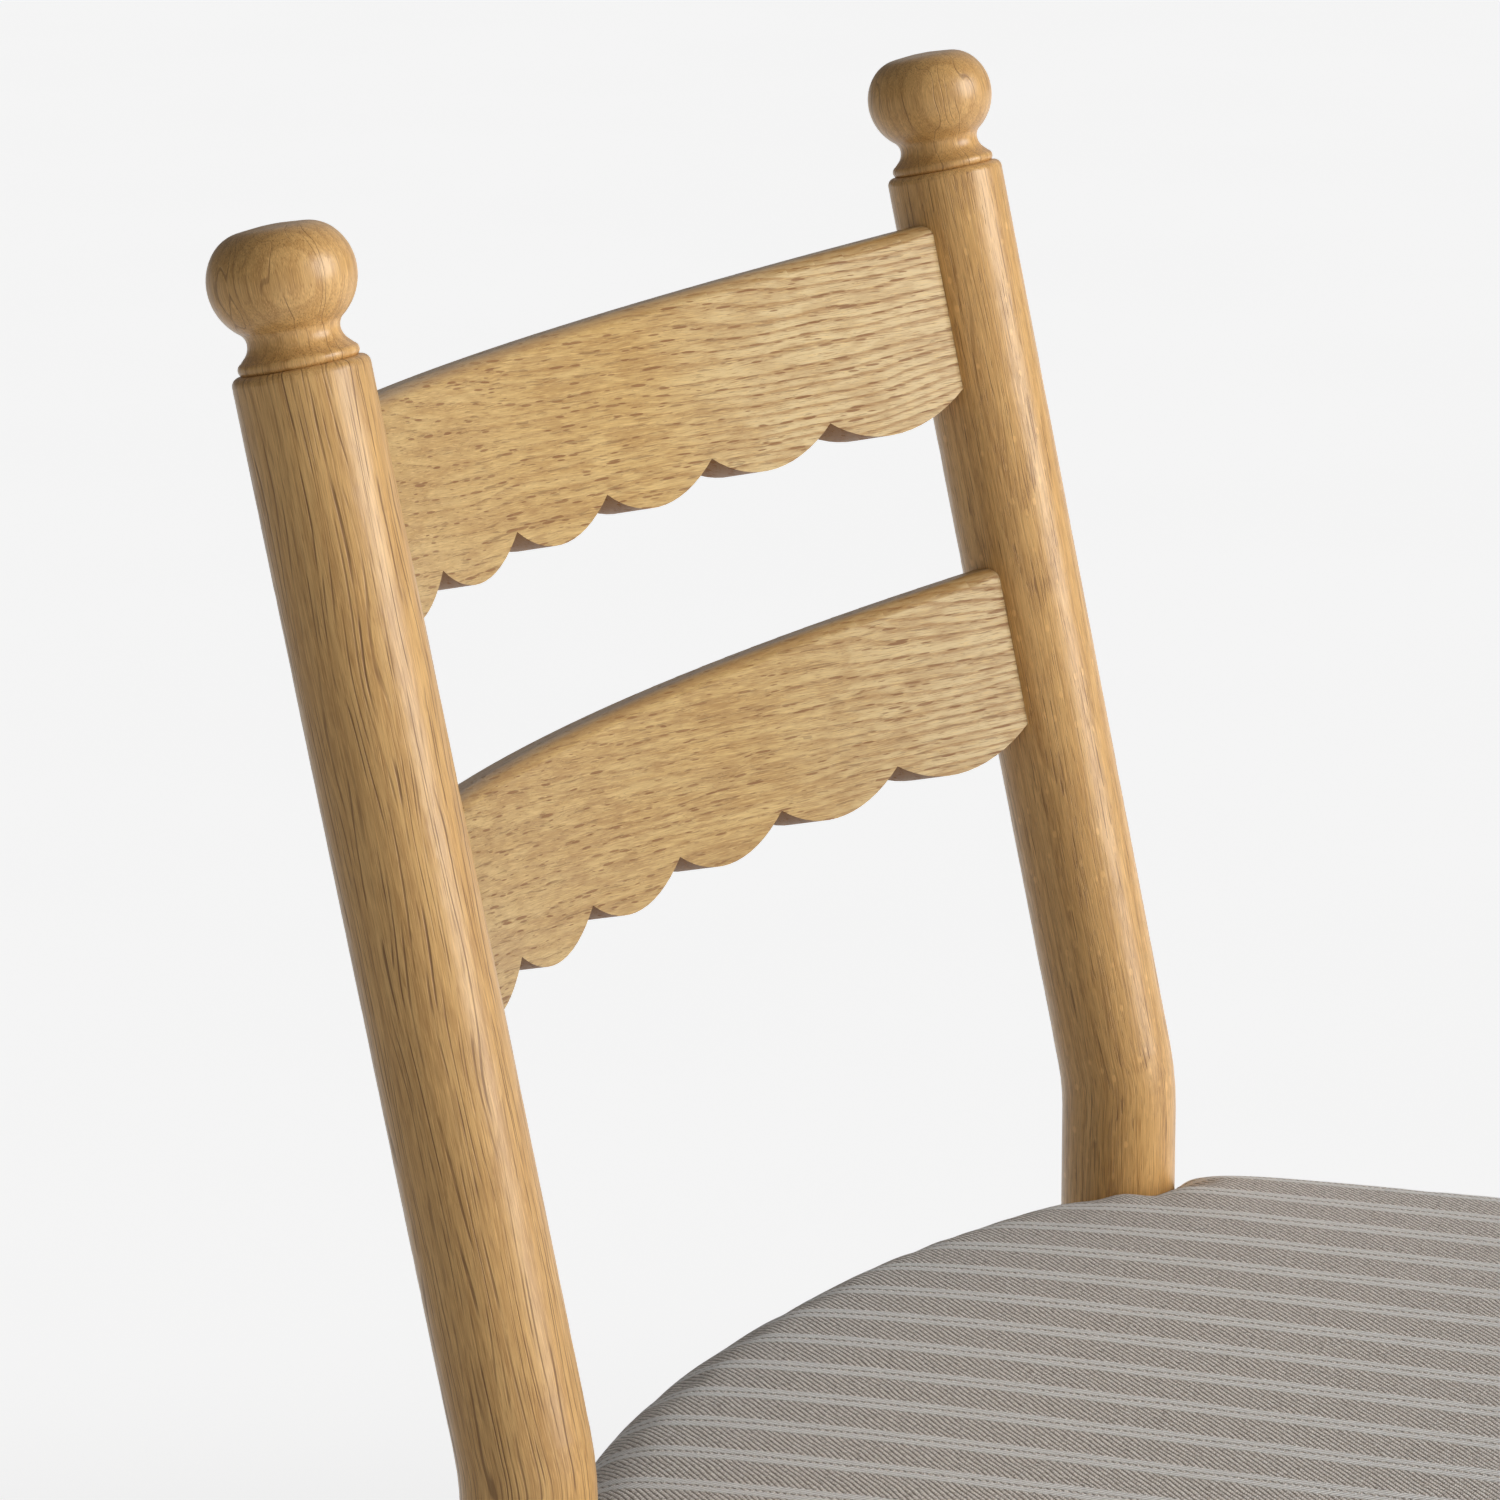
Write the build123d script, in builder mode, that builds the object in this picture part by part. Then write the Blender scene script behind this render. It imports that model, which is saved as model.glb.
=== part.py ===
from build123d import *
import os
from math import sin, cos, sqrt, radians

# Ladder-back side chair: two bent round posts with turned ball finials, two
# bowed slats with a scalloped lower edge, and an upholstered seat on a railed
# frame with turned front legs and stretchers.
#
# Frame: +Z up, the chair faces -Y, the sitter's left is +X. The origin is on
# the floor, under the middle of the whole chair. Millimetres.

os.makedirs("parts", exist_ok=True)

# ------------------------------------------------------------ driving sizes
post_d = 38.0            # rear posts and front legs, straight part
post_spacing = 444.0     # between the rear post axes
post_y = 145.52          # rear post axes, below the bend
bend_z = 512.0           # height of the bend in the rear posts
rake = 12.29             # lean of the back above the bend, degrees
bend_radius = 85.0       # radius of the post's axis in the bend
post_run = 310.0         # bend to the post's top end, along the rake
post_rim_r = 2.5         # rounding of the post's top rim
taper_top_rear = 240.0   # the rear post tapers below this height
foot_d_rear = 30.0

front_dx = 232.0         # front leg axes, to each side
front_back = 350.0       # rear post axis to front leg axis, front to back
taper_top_front = 300.0
foot_d_front = 27.0

glide_h = 5.0            # nylon glides under the legs
glide_d = 24.0

slat_t = 13.0            # slat thickness
slat_bow = 31.6          # rise of the bow of the slat's front face
slat_w0 = -0.4           # front face at the post, behind the post's axis plane
scallops = 6
scallop_depth = 9.0
notch_arch = 2.8         # the line of notches arches by this much
slat_top_round = 4.0
upper_notch_v = 239.0    # notch line at the posts, along the rake from the bend
upper_top_v = 293.8
lower_notch_v = 126.4
lower_top_v = 179.2
tenon_t = 8.0            # slat tenon thickness
tenon_w = 5.5            # middle of the slat tenon, behind the post's axis plane
tenon_inset = 7.0        # slat tenon shoulders, top and bottom
tenon_end = 226.0        # end of the slat tenon from the chair's middle

dowel_d = 12.0           # finial dowel
dowel_half = 14.0

rail_t = 20.0            # seat rails
rail_h = 50.0
rail_top = 425.0
rail_tenon_t = 10.0
rail_tenon_inset = 7.0
side_tenon_end = 3.2     # side rail tenons stop this far from the leg axes
cross_tenon_end = 6.2    # front and rear rail tenons
rear_rail_mid = 34.0     # middle of the bowed rear rail, behind the post axes
rear_rail_r = 635.0      # radius of its centre line

stretcher_d = 21.0       # turned stretchers, at their middle
stretcher_tenon_d = 14.0
stretcher_depth = 14.0   # tenon end, in from the leg's full radius
side_stretcher_z = 168.0
cross_stretcher_z = 216.0

block_h = 38.0           # corner blocks
block_top = rail_top - 2.2

seat_gap = 0.6           # the cover stays this far off the posts
cover_t = 1.4            # cover thickness
fold_t = 1.2             # the cover folded under the board
board_t = 12.0
seat_rear_top = 478.5    # top of the cover at its rear edge
seat_rise = 1.3          # degrees: the top rises towards the front
fit = 0.1                # glue gap round tenons and dowels

post_r = post_d / 2
half = post_spacing / 2
ca, sa = cos(radians(rake)), sin(radians(rake))
up_back = Vector(0, sa, ca)          # up along the raked back
rearward = Vector(0, ca, -sa)        # to the rear, square to the raked back
bend = Vector(0, post_y, bend_z)
front_y = post_y - front_back
rail_bottom = rail_top - rail_h
face_half = half - post_r            # slat's visible half length


def back_elevation():
    """The raked back seen from the front: x across, y up the back, z forward."""
    return Plane(origin=bend, x_dir=(1, 0, 0), z_dir=-rearward)


def back_plan(v):
    """A section square to the raked back: x across, y to the rear."""
    return Plane(origin=bend + up_back * v, x_dir=(1, 0, 0), z_dir=up_back)


def post_top(s):
    return Vector(s * half, post_y, bend_z) + up_back * post_run


def side_dir(s):
    """From a rear post's axis to the front leg's, level."""
    return Vector(s * (front_dx - half), -front_back, 0).normalized()


def side_plane(s, z):
    """Level plane at the rear post's axis, x towards the front leg."""
    return Plane(origin=(s * half, post_y, z), x_dir=side_dir(s), z_dir=(0, 0, 1))


side_len = sqrt((front_dx - half) ** 2 + front_back ** 2)


# --------------------------------------------------------------- rear posts
def make_rear_post(s):
    top = post_top(s)
    screw_hole = block_screw_hole(s, True)
    with BuildPart() as post:
        with BuildLine(Plane.YZ.offset(s * half)):
            FilletPolyline((post_y, taper_top_rear), (post_y, bend_z),
                           (top.Y, top.Z), radius=bend_radius)
        with BuildSketch(Plane.XY.offset(taper_top_rear)):
            with Locations((s * half, post_y)):
                Circle(post_r)
        sweep()
        # rim of the top end, softly rounded
        rim = post.faces().sort_by(Axis(tuple(bend), tuple(up_back)))[-1]
        fillet(rim.edges(), post_rim_r)
        # tapered foot
        foot_axis = Axis((s * half, post_y, 0), (0, 0, 1))
        with BuildSketch(Plane(origin=(s * half, post_y, 0), x_dir=(1, 0, 0), z_dir=(0, -1, 0))):
            with BuildLine():
                Polyline((0, glide_h), (foot_d_rear / 2 - 2, glide_h), (foot_d_rear / 2, glide_h + 2),
                         (post_r, taper_top_rear), (0, taper_top_rear), close=True)
            make_face()
        revolve(axis=foot_axis)
        # slat mortises
        for notch_v, top_v in ((upper_notch_v, upper_top_v), (lower_notch_v, lower_top_v)):
            v0 = notch_v + tenon_inset - fit
            with BuildSketch(back_plan(v0)):
                with Locations((s * (tenon_end + 0.5 - 20), tenon_w)):
                    Rectangle(40, tenon_t + 2 * fit)
            extrude(amount=top_v - notch_v - 2 * tenon_inset + 2 * fit, mode=Mode.SUBTRACT)
        # mortise for the rear rail
        with BuildSketch(Plane.XY.offset(rail_bottom + rail_tenon_inset - fit)):
            with Locations((s * (half - cross_tenon_end + 0.3 - 20), post_y)):
                Rectangle(40, rail_tenon_t + 2 * fit)
        extrude(amount=rail_h - 2 * rail_tenon_inset + 2 * fit, mode=Mode.SUBTRACT)
        # mortise for the side rail
        with BuildSketch(side_plane(s, rail_bottom + rail_tenon_inset - fit)):
            with Locations((side_tenon_end - 0.3 + 20, 0)):
                Rectangle(40, rail_tenon_t + 2 * fit)
        extrude(amount=rail_h - 2 * rail_tenon_inset + 2 * fit, mode=Mode.SUBTRACT)
        # stretcher holes
        with BuildSketch(Plane(origin=(s * (half - 30), post_y, cross_stretcher_z),
                               x_dir=(0, 1, 0), z_dir=(s, 0, 0))):
            Circle(stretcher_tenon_d / 2 + fit / 2)
        extrude(amount=30 - post_r + stretcher_depth + 1.5, mode=Mode.SUBTRACT)
        d = side_dir(s)
        with BuildSketch(Plane(origin=Vector(s * half, post_y, side_stretcher_z) + d * 30,
                               x_dir=(0, 0, 1), z_dir=-d)):
            Circle(stretcher_tenon_d / 2 + fit / 2)
        extrude(amount=30 - post_r + stretcher_depth + 1.5, mode=Mode.SUBTRACT)
        # finial dowel hole
        with BuildSketch(Plane(origin=top + up_back * 5, x_dir=(1, 0, 0), z_dir=-up_back)):
            Circle(dowel_d / 2 + fit)
        extrude(amount=dowel_half + 6, mode=Mode.SUBTRACT)
        # nail hole in the foot
        with BuildSketch(Plane.XY.offset(glide_h - 1)):
            with Locations((s * half, post_y)):
                Circle(1.35)
        extrude(amount=22, mode=Mode.SUBTRACT)
        # pilot hole for the corner block's screw
        add(screw_hole, mode=Mode.SUBTRACT)
    return post


# ----------------------------------------------------------- corner hardware
def block_axis(s, rear):
    """Start on the leg's axis and direction into the chair, at 45 degrees."""
    if rear:
        return Vector(s * half, post_y, block_top - 26), Vector(-s, -1, 0).normalized()
    return Vector(s * front_dx, front_y, block_top - 26), Vector(-s, 1, 0).normalized()


block_face = 66.0     # leg axis to the block's long inner face, on the diagonal
screw_tip = 11.0      # the screw's tip stops this far from the leg's axis


def block_screw_hole(s, rear):
    o, d = block_axis(s, rear)
    with BuildPart() as hole:
        with BuildSketch(Plane(origin=o + d * (screw_tip - 0.5), x_dir=(0, 0, 1), z_dir=d)):
            Circle(2.1)
        extrude(amount=block_face - screw_tip + 2)
    return hole.part


def seat_screw_at(s, rear):
    o, d = block_axis(s, rear)
    across = Vector(d.Y, -d.X, 0) * s
    p = o + d * (block_face - 13) + across * 9
    return (p.X, p.Y)


# ------------------------------------------------------------------ finials
def make_finial(s):
    top = post_top(s)
    plane = Plane(origin=top, x_dir=(1, 0, 0), z_dir=-rearward)
    with BuildPart() as finial:
        with BuildSketch(plane):
            with BuildLine():
                # collar, swelling and then drawn in to the neck
                Line((0, 0), (15.9, 0))
                ThreePointArc((15.9, 0), (16.65, 1.4), (15.6, 3.3))
                Line((15.6, 3.3), (14.3, 4.6))
                cove = TangentArc((14.3, 4.6), (12.8, 8.2), tangent=(-1, 1))
                flare = TangentArc((12.8, 8.2), (14.2, 11.1), tangent=cove % 1)
                # flattened ball
                lower = TangentArc((14.2, 11.1), (20.4, 25.0), tangent=flare % 1)
                upper = TangentArc((20.4, 25.0), (16.75, 33.9), tangent=lower % 1)
                crown = TangentArc((16.75, 33.9), (9.3, 37.8), tangent=upper % 1)
                TangentArc((9.3, 37.8), (3.0, 38.4), tangent=crown % 1)
                # the small flat the turner leaves on top
                Line((3.0, 38.4), (0, 38.4))
                Line((0, 38.4), (0, 0))
            make_face()
        revolve(axis=Axis(tuple(top), tuple(up_back)))
        with BuildSketch(Plane(origin=top, x_dir=(1, 0, 0), z_dir=up_back)):
            Circle(dowel_d / 2 + fit)
        extrude(amount=dowel_half + 1, mode=Mode.SUBTRACT)
    return finial


def make_finial_dowel(s):
    with BuildPart() as dowel:
        with BuildSketch(Plane(origin=post_top(s) - up_back * dowel_half, x_dir=(1, 0, 0), z_dir=up_back)):
            Circle(dowel_d / 2)
        extrude(amount=2 * dowel_half)
        chamfer(dowel.edges().filter_by(GeomType.CIRCLE), 1.0)
    return dowel


# -------------------------------------------------------------------- slats
slat_r = (face_half ** 2 + slat_bow ** 2) / (2 * slat_bow)   # radius of the front face
slat_centre_w = slat_w0 + slat_bow - slat_r


def make_slat(notch_v, top_v):
    pitch = 2 * face_half / scallops
    reach = half
    us = [-face_half + i * pitch for i in range(scallops + 1)]

    def notch(u):
        return notch_v + notch_arch * (1 - (u / face_half) ** 2)

    with BuildPart() as slat:
        # bent board: a band of constant thickness in plan
        with BuildSketch(back_plan(notch_v - scallop_depth - 4)):
            with Locations((0, slat_centre_w)):
                Circle(slat_r + slat_t)
                Circle(slat_r, mode=Mode.SUBTRACT)
            with Locations((0, 10)):
                Rectangle(2 * reach, 90, mode=Mode.INTERSECT)
        extrude(amount=top_v - notch_v + scallop_depth + 4)
        # rounded top edge, front and back
        top_edges = [e for e in slat.edges()
                     if abs((e.center() - bend).dot(up_back) - top_v) < 0.2 and e.length > 100]
        fillet(top_edges, slat_top_round)
        # scalloped lower edge
        with BuildSketch(back_elevation()):
            with BuildLine():
                low = notch_v - scallop_depth - 10
                Line((-reach - 5, low), (-reach - 5, notch(us[0])))
                Line((-reach - 5, notch(us[0])), (us[0], notch(us[0])))
                for u0, u1 in zip(us[:-1], us[1:]):
                    mid = (u0 + u1) / 2
                    ThreePointArc((u0, notch(u0)), (mid, (notch(u0) + notch(u1)) / 2 - scallop_depth),
                                  (u1, notch(u1)))
                Line((us[-1], notch(us[-1])), (reach + 5, notch(us[-1])))
                Line((reach + 5, notch(us[-1])), (reach + 5, low))
                Line((reach + 5, low), (-reach - 5, low))
            make_face()
        extrude(amount=60, both=True, mode=Mode.SUBTRACT)
        # ends coped to the round posts
        for s in (-1, 1):
            with BuildSketch(back_plan(notch_v - 40)):
                with Locations((s * half, 0)):
                    Circle(post_r + 0.05)
                with Locations((s * (half + 15), 0)):
                    Rectangle(30, 60)
            extrude(amount=top_v - notch_v + 80, mode=Mode.SUBTRACT)
        # tenons
        for s in (-1, 1):
            with BuildSketch(back_plan(notch_v + tenon_inset)):
                with Locations((s * (tenon_end + face_half - 3) / 2, tenon_w)):
                    Rectangle(tenon_end - face_half + 3, tenon_t)
            extrude(amount=top_v - notch_v - 2 * tenon_inset)
    return slat


# --------------------------------------------------------------- front legs
def make_front_leg(s):
    screw_hole = block_screw_hole(s, False)
    with BuildPart() as leg:
        with BuildSketch(Plane(origin=(s * front_dx, front_y, 0), x_dir=(1, 0, 0), z_dir=(0, -1, 0))):
            with BuildLine():
                Polyline((0, glide_h), (foot_d_front / 2 - 2, glide_h), (foot_d_front / 2, glide_h + 2),
                         (post_r, taper_top_front), (post_r, rail_top - 1.5), (post_r - 1.5, rail_top),
                         (0, rail_top), close=True)
            make_face()
        revolve(axis=Axis((s * front_dx, front_y, 0), (0, 0, 1)))
        # mortise for the front rail
        with BuildSketch(Plane.XY.offset(rail_bottom + rail_tenon_inset - fit)):
            with Locations((s * (front_dx - cross_tenon_end + 0.3 - 20), front_y)):
                Rectangle(40, rail_tenon_t + 2 * fit)
        extrude(amount=rail_h - 2 * rail_tenon_inset + 2 * fit, mode=Mode.SUBTRACT)
        # mortise for the side rail
        with BuildSketch(side_plane(s, rail_bottom + rail_tenon_inset - fit)):
            with Locations((side_len - side_tenon_end + 0.3 - 20, 0)):
                Rectangle(40, rail_tenon_t + 2 * fit)
        extrude(amount=rail_h - 2 * rail_tenon_inset + 2 * fit, mode=Mode.SUBTRACT)
        # stretcher holes
        with BuildSketch(Plane(origin=(s * (front_dx - 30), front_y, cross_stretcher_z),
                               x_dir=(0, 1, 0), z_dir=(s, 0, 0))):
            Circle(stretcher_tenon_d / 2 + fit / 2)
        extrude(amount=30 - post_r + stretcher_depth + 1.5, mode=Mode.SUBTRACT)
        d = side_dir(s)
        with BuildSketch(Plane(origin=Vector(s * front_dx, front_y, side_stretcher_z) - d * 30,
                               x_dir=(0, 0, 1), z_dir=d)):
            Circle(stretcher_tenon_d / 2 + fit / 2)
        extrude(amount=30 - post_r + stretcher_depth + 1.5, mode=Mode.SUBTRACT)
        # nail hole in the foot
        with BuildSketch(Plane.XY.offset(glide_h - 1)):
            with Locations((s * front_dx, front_y)):
                Circle(1.35)
        extrude(amount=22, mode=Mode.SUBTRACT)
        add(screw_hole, mode=Mode.SUBTRACT)
    return leg


# -------------------------------------------------------------------- rails
with BuildPart() as front_rail:
    with BuildSketch(Plane.XY.offset(rail_bottom)):
        with Locations((0, front_y)):
            Rectangle(2 * front_dx, rail_t)
        with Locations((-front_dx, front_y), (front_dx, front_y)):
            Circle(post_r + 0.05, mode=Mode.SUBTRACT)
    extrude(amount=rail_h)
    chamfer(front_rail.edges().filter_by(Axis.X).group_by(Axis.Z)[0], 1.5)
    with BuildSketch(Plane.XY.offset(rail_bottom + rail_tenon_inset)):
        with Locations((0, front_y)):
            Rectangle(2 * (front_dx - cross_tenon_end), rail_tenon_t)
    extrude(amount=rail_h - 2 * rail_tenon_inset)

with BuildPart() as rear_rail:
    with BuildSketch(Plane.XY.offset(rail_bottom)):
        with Locations((0, post_y + rear_rail_mid - rear_rail_r)):
            Circle(rear_rail_r + rail_t / 2)
            Circle(rear_rail_r - rail_t / 2, mode=Mode.SUBTRACT)
        with Locations((0, post_y + 10)):
            Rectangle(2 * half, 100, mode=Mode.INTERSECT)
        with Locations((-half, post_y), (half, post_y)):
            Circle(post_r + 0.05, mode=Mode.SUBTRACT)
    extrude(amount=rail_h)
    for s in (-1, 1):
        with BuildSketch(Plane.XY.offset(rail_bottom + rail_tenon_inset)):
            with Locations((s * (half - cross_tenon_end + face_half - 4) / 2, post_y)):
                Rectangle(half - cross_tenon_end - face_half + 4, rail_tenon_t)
        extrude(amount=rail_h - 2 * rail_tenon_inset)


def make_side_rail(s):
    with BuildPart() as rail:
        with BuildSketch(side_plane(s, rail_bottom)):
            with Locations((side_len / 2, 0)):
                Rectangle(side_len, rail_t)
            with Locations((0, 0), (side_len, 0)):
                Circle(post_r + 0.05, mode=Mode.SUBTRACT)
        extrude(amount=rail_h)
        with BuildSketch(side_plane(s, rail_bottom + rail_tenon_inset)):
            with Locations((side_len / 2, 0)):
                Rectangle(side_len - 2 * side_tenon_end, rail_tenon_t)
        extrude(amount=rail_h - 2 * rail_tenon_inset)
    return rail


# --------------------------------------------------------------- stretchers
def make_stretcher(start, direction, length, r_leg_0, r_leg_1):
    """A turned stretcher between two leg axes, slim at its tenons."""
    t0, t1 = post_r - stretcher_depth, length - post_r + stretcher_depth
    a0, a1 = r_leg_0 + 0.6, length - r_leg_1 - 0.6
    r = stretcher_tenon_d / 2
    with BuildPart() as stretcher:
        with BuildSketch(Plane(origin=start, x_dir=direction, z_dir=Vector(0, 0, 1))):
            with BuildLine():
                Line((t0, 0), (t0, r - 1))
                Line((t0, r - 1), (t0 + 1, r))
                Line((t0 + 1, r), (a0, r))
                ThreePointArc((a0, r), ((a0 + a1) / 2, stretcher_d / 2), (a1, r))
                Line((a1, r), (t1 - 1, r))
                Line((t1 - 1, r), (t1, r - 1))
                Line((t1, r - 1), (t1, 0))
                Line((t1, 0), (t0, 0))
            make_face()
        revolve(axis=Axis(tuple(start), tuple(direction)))
    return stretcher


def leg_radius(z, foot_d, taper_top):
    k = min(1.0, (z - glide_h - 2) / (taper_top - glide_h - 2))
    return foot_d / 2 + (post_r - foot_d / 2) * k


# ------------------------------------------------------------ corner blocks
def side_inner_x(s, y):
    """x of the side rail's inner face at a given y."""
    d = side_dir(s)
    inner = Vector(s * half, post_y, 0) + Vector(-s * abs(d.Y), -abs(d.X), 0) * (rail_t / 2 + 0.02)
    t = (y - inner.Y) / d.Y
    return inner.X + d.X * t


def make_corner_block(s, rear):
    o, d = block_axis(s, rear)
    screw_hole = block_screw_hole(s, rear)
    with BuildPart() as block:
        with BuildSketch(Plane.XY.offset(block_top - block_h)):
            if rear:
                y0, y1 = post_y + 40, post_y - 100
                with BuildLine():
                    Polyline((side_inner_x(s, y0), y0), (side_inner_x(s, y1), y1),
                             (s * (half - 120), y1), (s * (half - 120), y0), close=True)
                make_face()
                with Locations((0, post_y + rear_rail_mid - rear_rail_r)):
                    Circle(rear_rail_r - rail_t / 2 - 0.03, mode=Mode.INTERSECT)
                with Locations((s * half, post_y)):
                    Circle(post_r + 1.0, mode=Mode.SUBTRACT)
            else:
                y0, y1 = front_y + rail_t / 2 + 0.02, front_y + 110
                with BuildLine():
                    Polyline((side_inner_x(s, y0), y0), (side_inner_x(s, y1), y1),
                             (s * (front_dx - 120), y1), (s * (front_dx - 120), y0), close=True)
                make_face()
                with Locations((s * front_dx, front_y)):
                    Circle(post_r + 1.0, mode=Mode.SUBTRACT)
        extrude(amount=block_h)
        # long inner face, square to the diagonal
        with BuildSketch(Plane(origin=(o.X, o.Y, block_top - block_h - 1), x_dir=d, z_dir=(0, 0, 1))):
            with Locations((block_face + 100, 0)):
                Rectangle(200, 400)
        extrude(amount=block_h + 2, mode=Mode.SUBTRACT)
        add(screw_hole, mode=Mode.SUBTRACT)
        # clearance hole for the seat screw
        with BuildSketch(Plane.XY.offset(block_top - block_h - 1)):
            with Locations(seat_screw_at(s, rear)):
                Circle(2.4)
        extrude(amount=block_h + 2, mode=Mode.SUBTRACT)
    return block


with BuildPart() as corner_block_screws:
    for s in (-1, 1):
        for rear in (True, False):
            o, d = block_axis(s, rear)
            with BuildSketch(Plane(origin=o + d * screw_tip, x_dir=(0, 0, 1), z_dir=d)):
                Circle(2.0)
            extrude(amount=block_face - screw_tip + 1)
            with BuildSketch(Plane(origin=o + d * (block_face + 0.05), x_dir=(0, 0, 1), z_dir=d)):
                Circle(4.5)
            extrude(amount=2.8, taper=12)

with BuildPart() as seat_screws:
    for s in (-1, 1):
        for rear in (True, False):
            x, y = seat_screw_at(s, rear)
            with BuildSketch(Plane.XY.offset(block_top - block_h - 1)):
                with Locations((x, y)):
                    Circle(2.0)
            extrude(amount=rail_top + fold_t + board_t - 3 - (block_top - block_h - 1))
            with BuildSketch(Plane(origin=(x, y, block_top - block_h - 0.05), x_dir=(1, 0, 0), z_dir=(0, 0, -1))):
                Circle(4.5)
            extrude(amount=2.8, taper=12)

# --------------------------------------------------------------------- seat
side_rear = (half + 20.0, post_y - 16.0)
side_mid = (252.5, post_y - 125.0)
side_front = (262.0, front_y + 2.0)
front_corner = (251.0, front_y - 26.0)
front_end = (225.0, front_y - 37.0)
front_mid = (0.0, front_y - 46.0)
seat_rear_y = post_y + 56.0


def seat_outline(inset, z):
    """Plan of the seat, cut round the posts, pulled in by inset."""
    def mx(p):
        return (-p[0], p[1])

    with BuildSketch(Plane.XY.offset(z)) as outline:
        with BuildLine():
            ThreePointArc(mx(front_end), front_mid, front_end)
            ThreePointArc(front_end, front_corner, side_front)
            ThreePointArc(side_front, side_mid, side_rear)
            Line(side_rear, (half, post_y))
            ThreePointArc((half, post_y), (0, seat_rear_y), (-half, post_y))
            Line((-half, post_y), mx(side_rear))
            ThreePointArc(mx(side_rear), mx(side_mid), mx(side_front))
            ThreePointArc(mx(side_front), mx(front_corner), mx(front_end))
        make_face()
        if inset:
            offset(amount=-inset, kind=Kind.INTERSECTION)
        with Locations((-half, post_y), (half, post_y)):
            Circle(post_r + seat_gap + inset, mode=Mode.SUBTRACT)
    return outline.sketch


def top_plane(drop):
    """Top of the seat, lowered by drop; it rises towards the front."""
    k = radians(seat_rise)
    return Plane(origin=(0, seat_rear_y, seat_rear_top - drop), x_dir=(1, 0, 0),
                 z_dir=(0, sin(k), cos(k)))


def inside_rails(clear, z):
    """The space between the seat rails, less a clearance."""
    y1, y0 = post_y + 60, front_y + rail_t / 2 + clear
    with BuildSketch(Plane.XY.offset(z)) as space:
        with BuildLine():
            Polyline((side_inner_x(1, y1) - clear, y1), (side_inner_x(1, y0) - clear, y0),
                     (side_inner_x(-1, y0) + clear, y0), (side_inner_x(-1, y1) + clear, y1), close=True)
        make_face()
        with Locations((0, post_y + rear_rail_mid - rear_rail_r)):
            Circle(rear_rail_r - rail_t / 2 - clear, mode=Mode.INTERSECT)
        with Locations((-half, post_y), (half, post_y), (-front_dx, front_y), (front_dx, front_y)):
            Circle(post_r + 1 + clear, mode=Mode.SUBTRACT)
    return space.sketch


board_z = rail_top + fold_t
foam_z = board_z + board_t

# staples along the folded cover, inside the rails: crown below, legs up
staple_y_side = [post_y - 70 - 52 * i for i in range(5)]
staple_x_front = [-150, -90, -30, 30, 90, 150]
staple_x_rear = [-130, -78, -26, 26, 78, 130]
staple_inset = 7.0
with BuildPart() as cover_staples:
    spots = []
    for s in (-1, 1):
        spots += [(side_inner_x(s, y) - s * staple_inset, y, 90) for y in staple_y_side]
    spots += [(x, front_y + rail_t / 2 + staple_inset, 0) for x in staple_x_front]
    spots += [(x, post_y + rear_rail_mid - rear_rail_r - staple_inset
               + sqrt((rear_rail_r - rail_t / 2) ** 2 - x ** 2), 0) for x in staple_x_rear]
    for x, y, turn in spots:
        with BuildSketch(Plane(origin=(x, y, rail_top - 0.6), x_dir=(cos(radians(turn)), sin(radians(turn)), 0),
                               z_dir=(0, 0, 1))):
            Rectangle(10, 0.9)
        extrude(amount=0.6)
        with BuildSketch(Plane(origin=(x, y, rail_top - 0.3), x_dir=(cos(radians(turn)), sin(radians(turn)), 0),
                               z_dir=(0, 0, 1))):
            with Locations((-4.6, 0), (4.6, 0)):
                Rectangle(0.8, 0.9)
        extrude(amount=6.5)

board_plan = seat_outline(cover_t + 0.2, board_z)
foam_plan = seat_outline(cover_t + 0.2, foam_z + 0.1)
cover_plan = seat_outline(0, rail_top)
hollow_plan = seat_outline(cover_t, board_z)
fold_plan = inside_rails(14, rail_top - 1)
dust_plan = inside_rails(1.0, rail_top - 1.6)

with BuildPart() as seat_board:
    add(board_plan)
    extrude(amount=board_t)
    add(seat_screws.part, mode=Mode.SUBTRACT)
    add(cover_staples.part, mode=Mode.SUBTRACT)

with BuildPart() as seat_foam:
    add(foam_plan)
    extrude(amount=90)
    split(bisect_by=top_plane(cover_t + 0.2), keep=Keep.BOTTOM)

# the space inside the cover, and the opening left by its folded hem
with BuildPart() as cover_hollow:
    add(hollow_plan)
    extrude(amount=90)
    split(bisect_by=top_plane(cover_t), keep=Keep.BOTTOM)

with BuildPart() as cover_opening:
    add(fold_plan)
    extrude(amount=fold_t + 2)

with BuildPart() as seat_cover:
    add(cover_plan)
    extrude(amount=100)
    split(bisect_by=top_plane(0), keep=Keep.BOTTOM)
    add(cover_hollow.part, mode=Mode.SUBTRACT)
    add(cover_opening.part, mode=Mode.SUBTRACT)
    add(cover_staples.part, mode=Mode.SUBTRACT)

with BuildPart() as dust_cover:
    add(dust_plan)
    extrude(amount=0.8)
    for s in (-1, 1):
        for rear in (True, False):
            with BuildSketch(Plane.XY.offset(rail_top - 3)):
                with Locations(seat_screw_at(s, rear)):
                    Circle(2.6)
            extrude(amount=4, mode=Mode.SUBTRACT)

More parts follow.
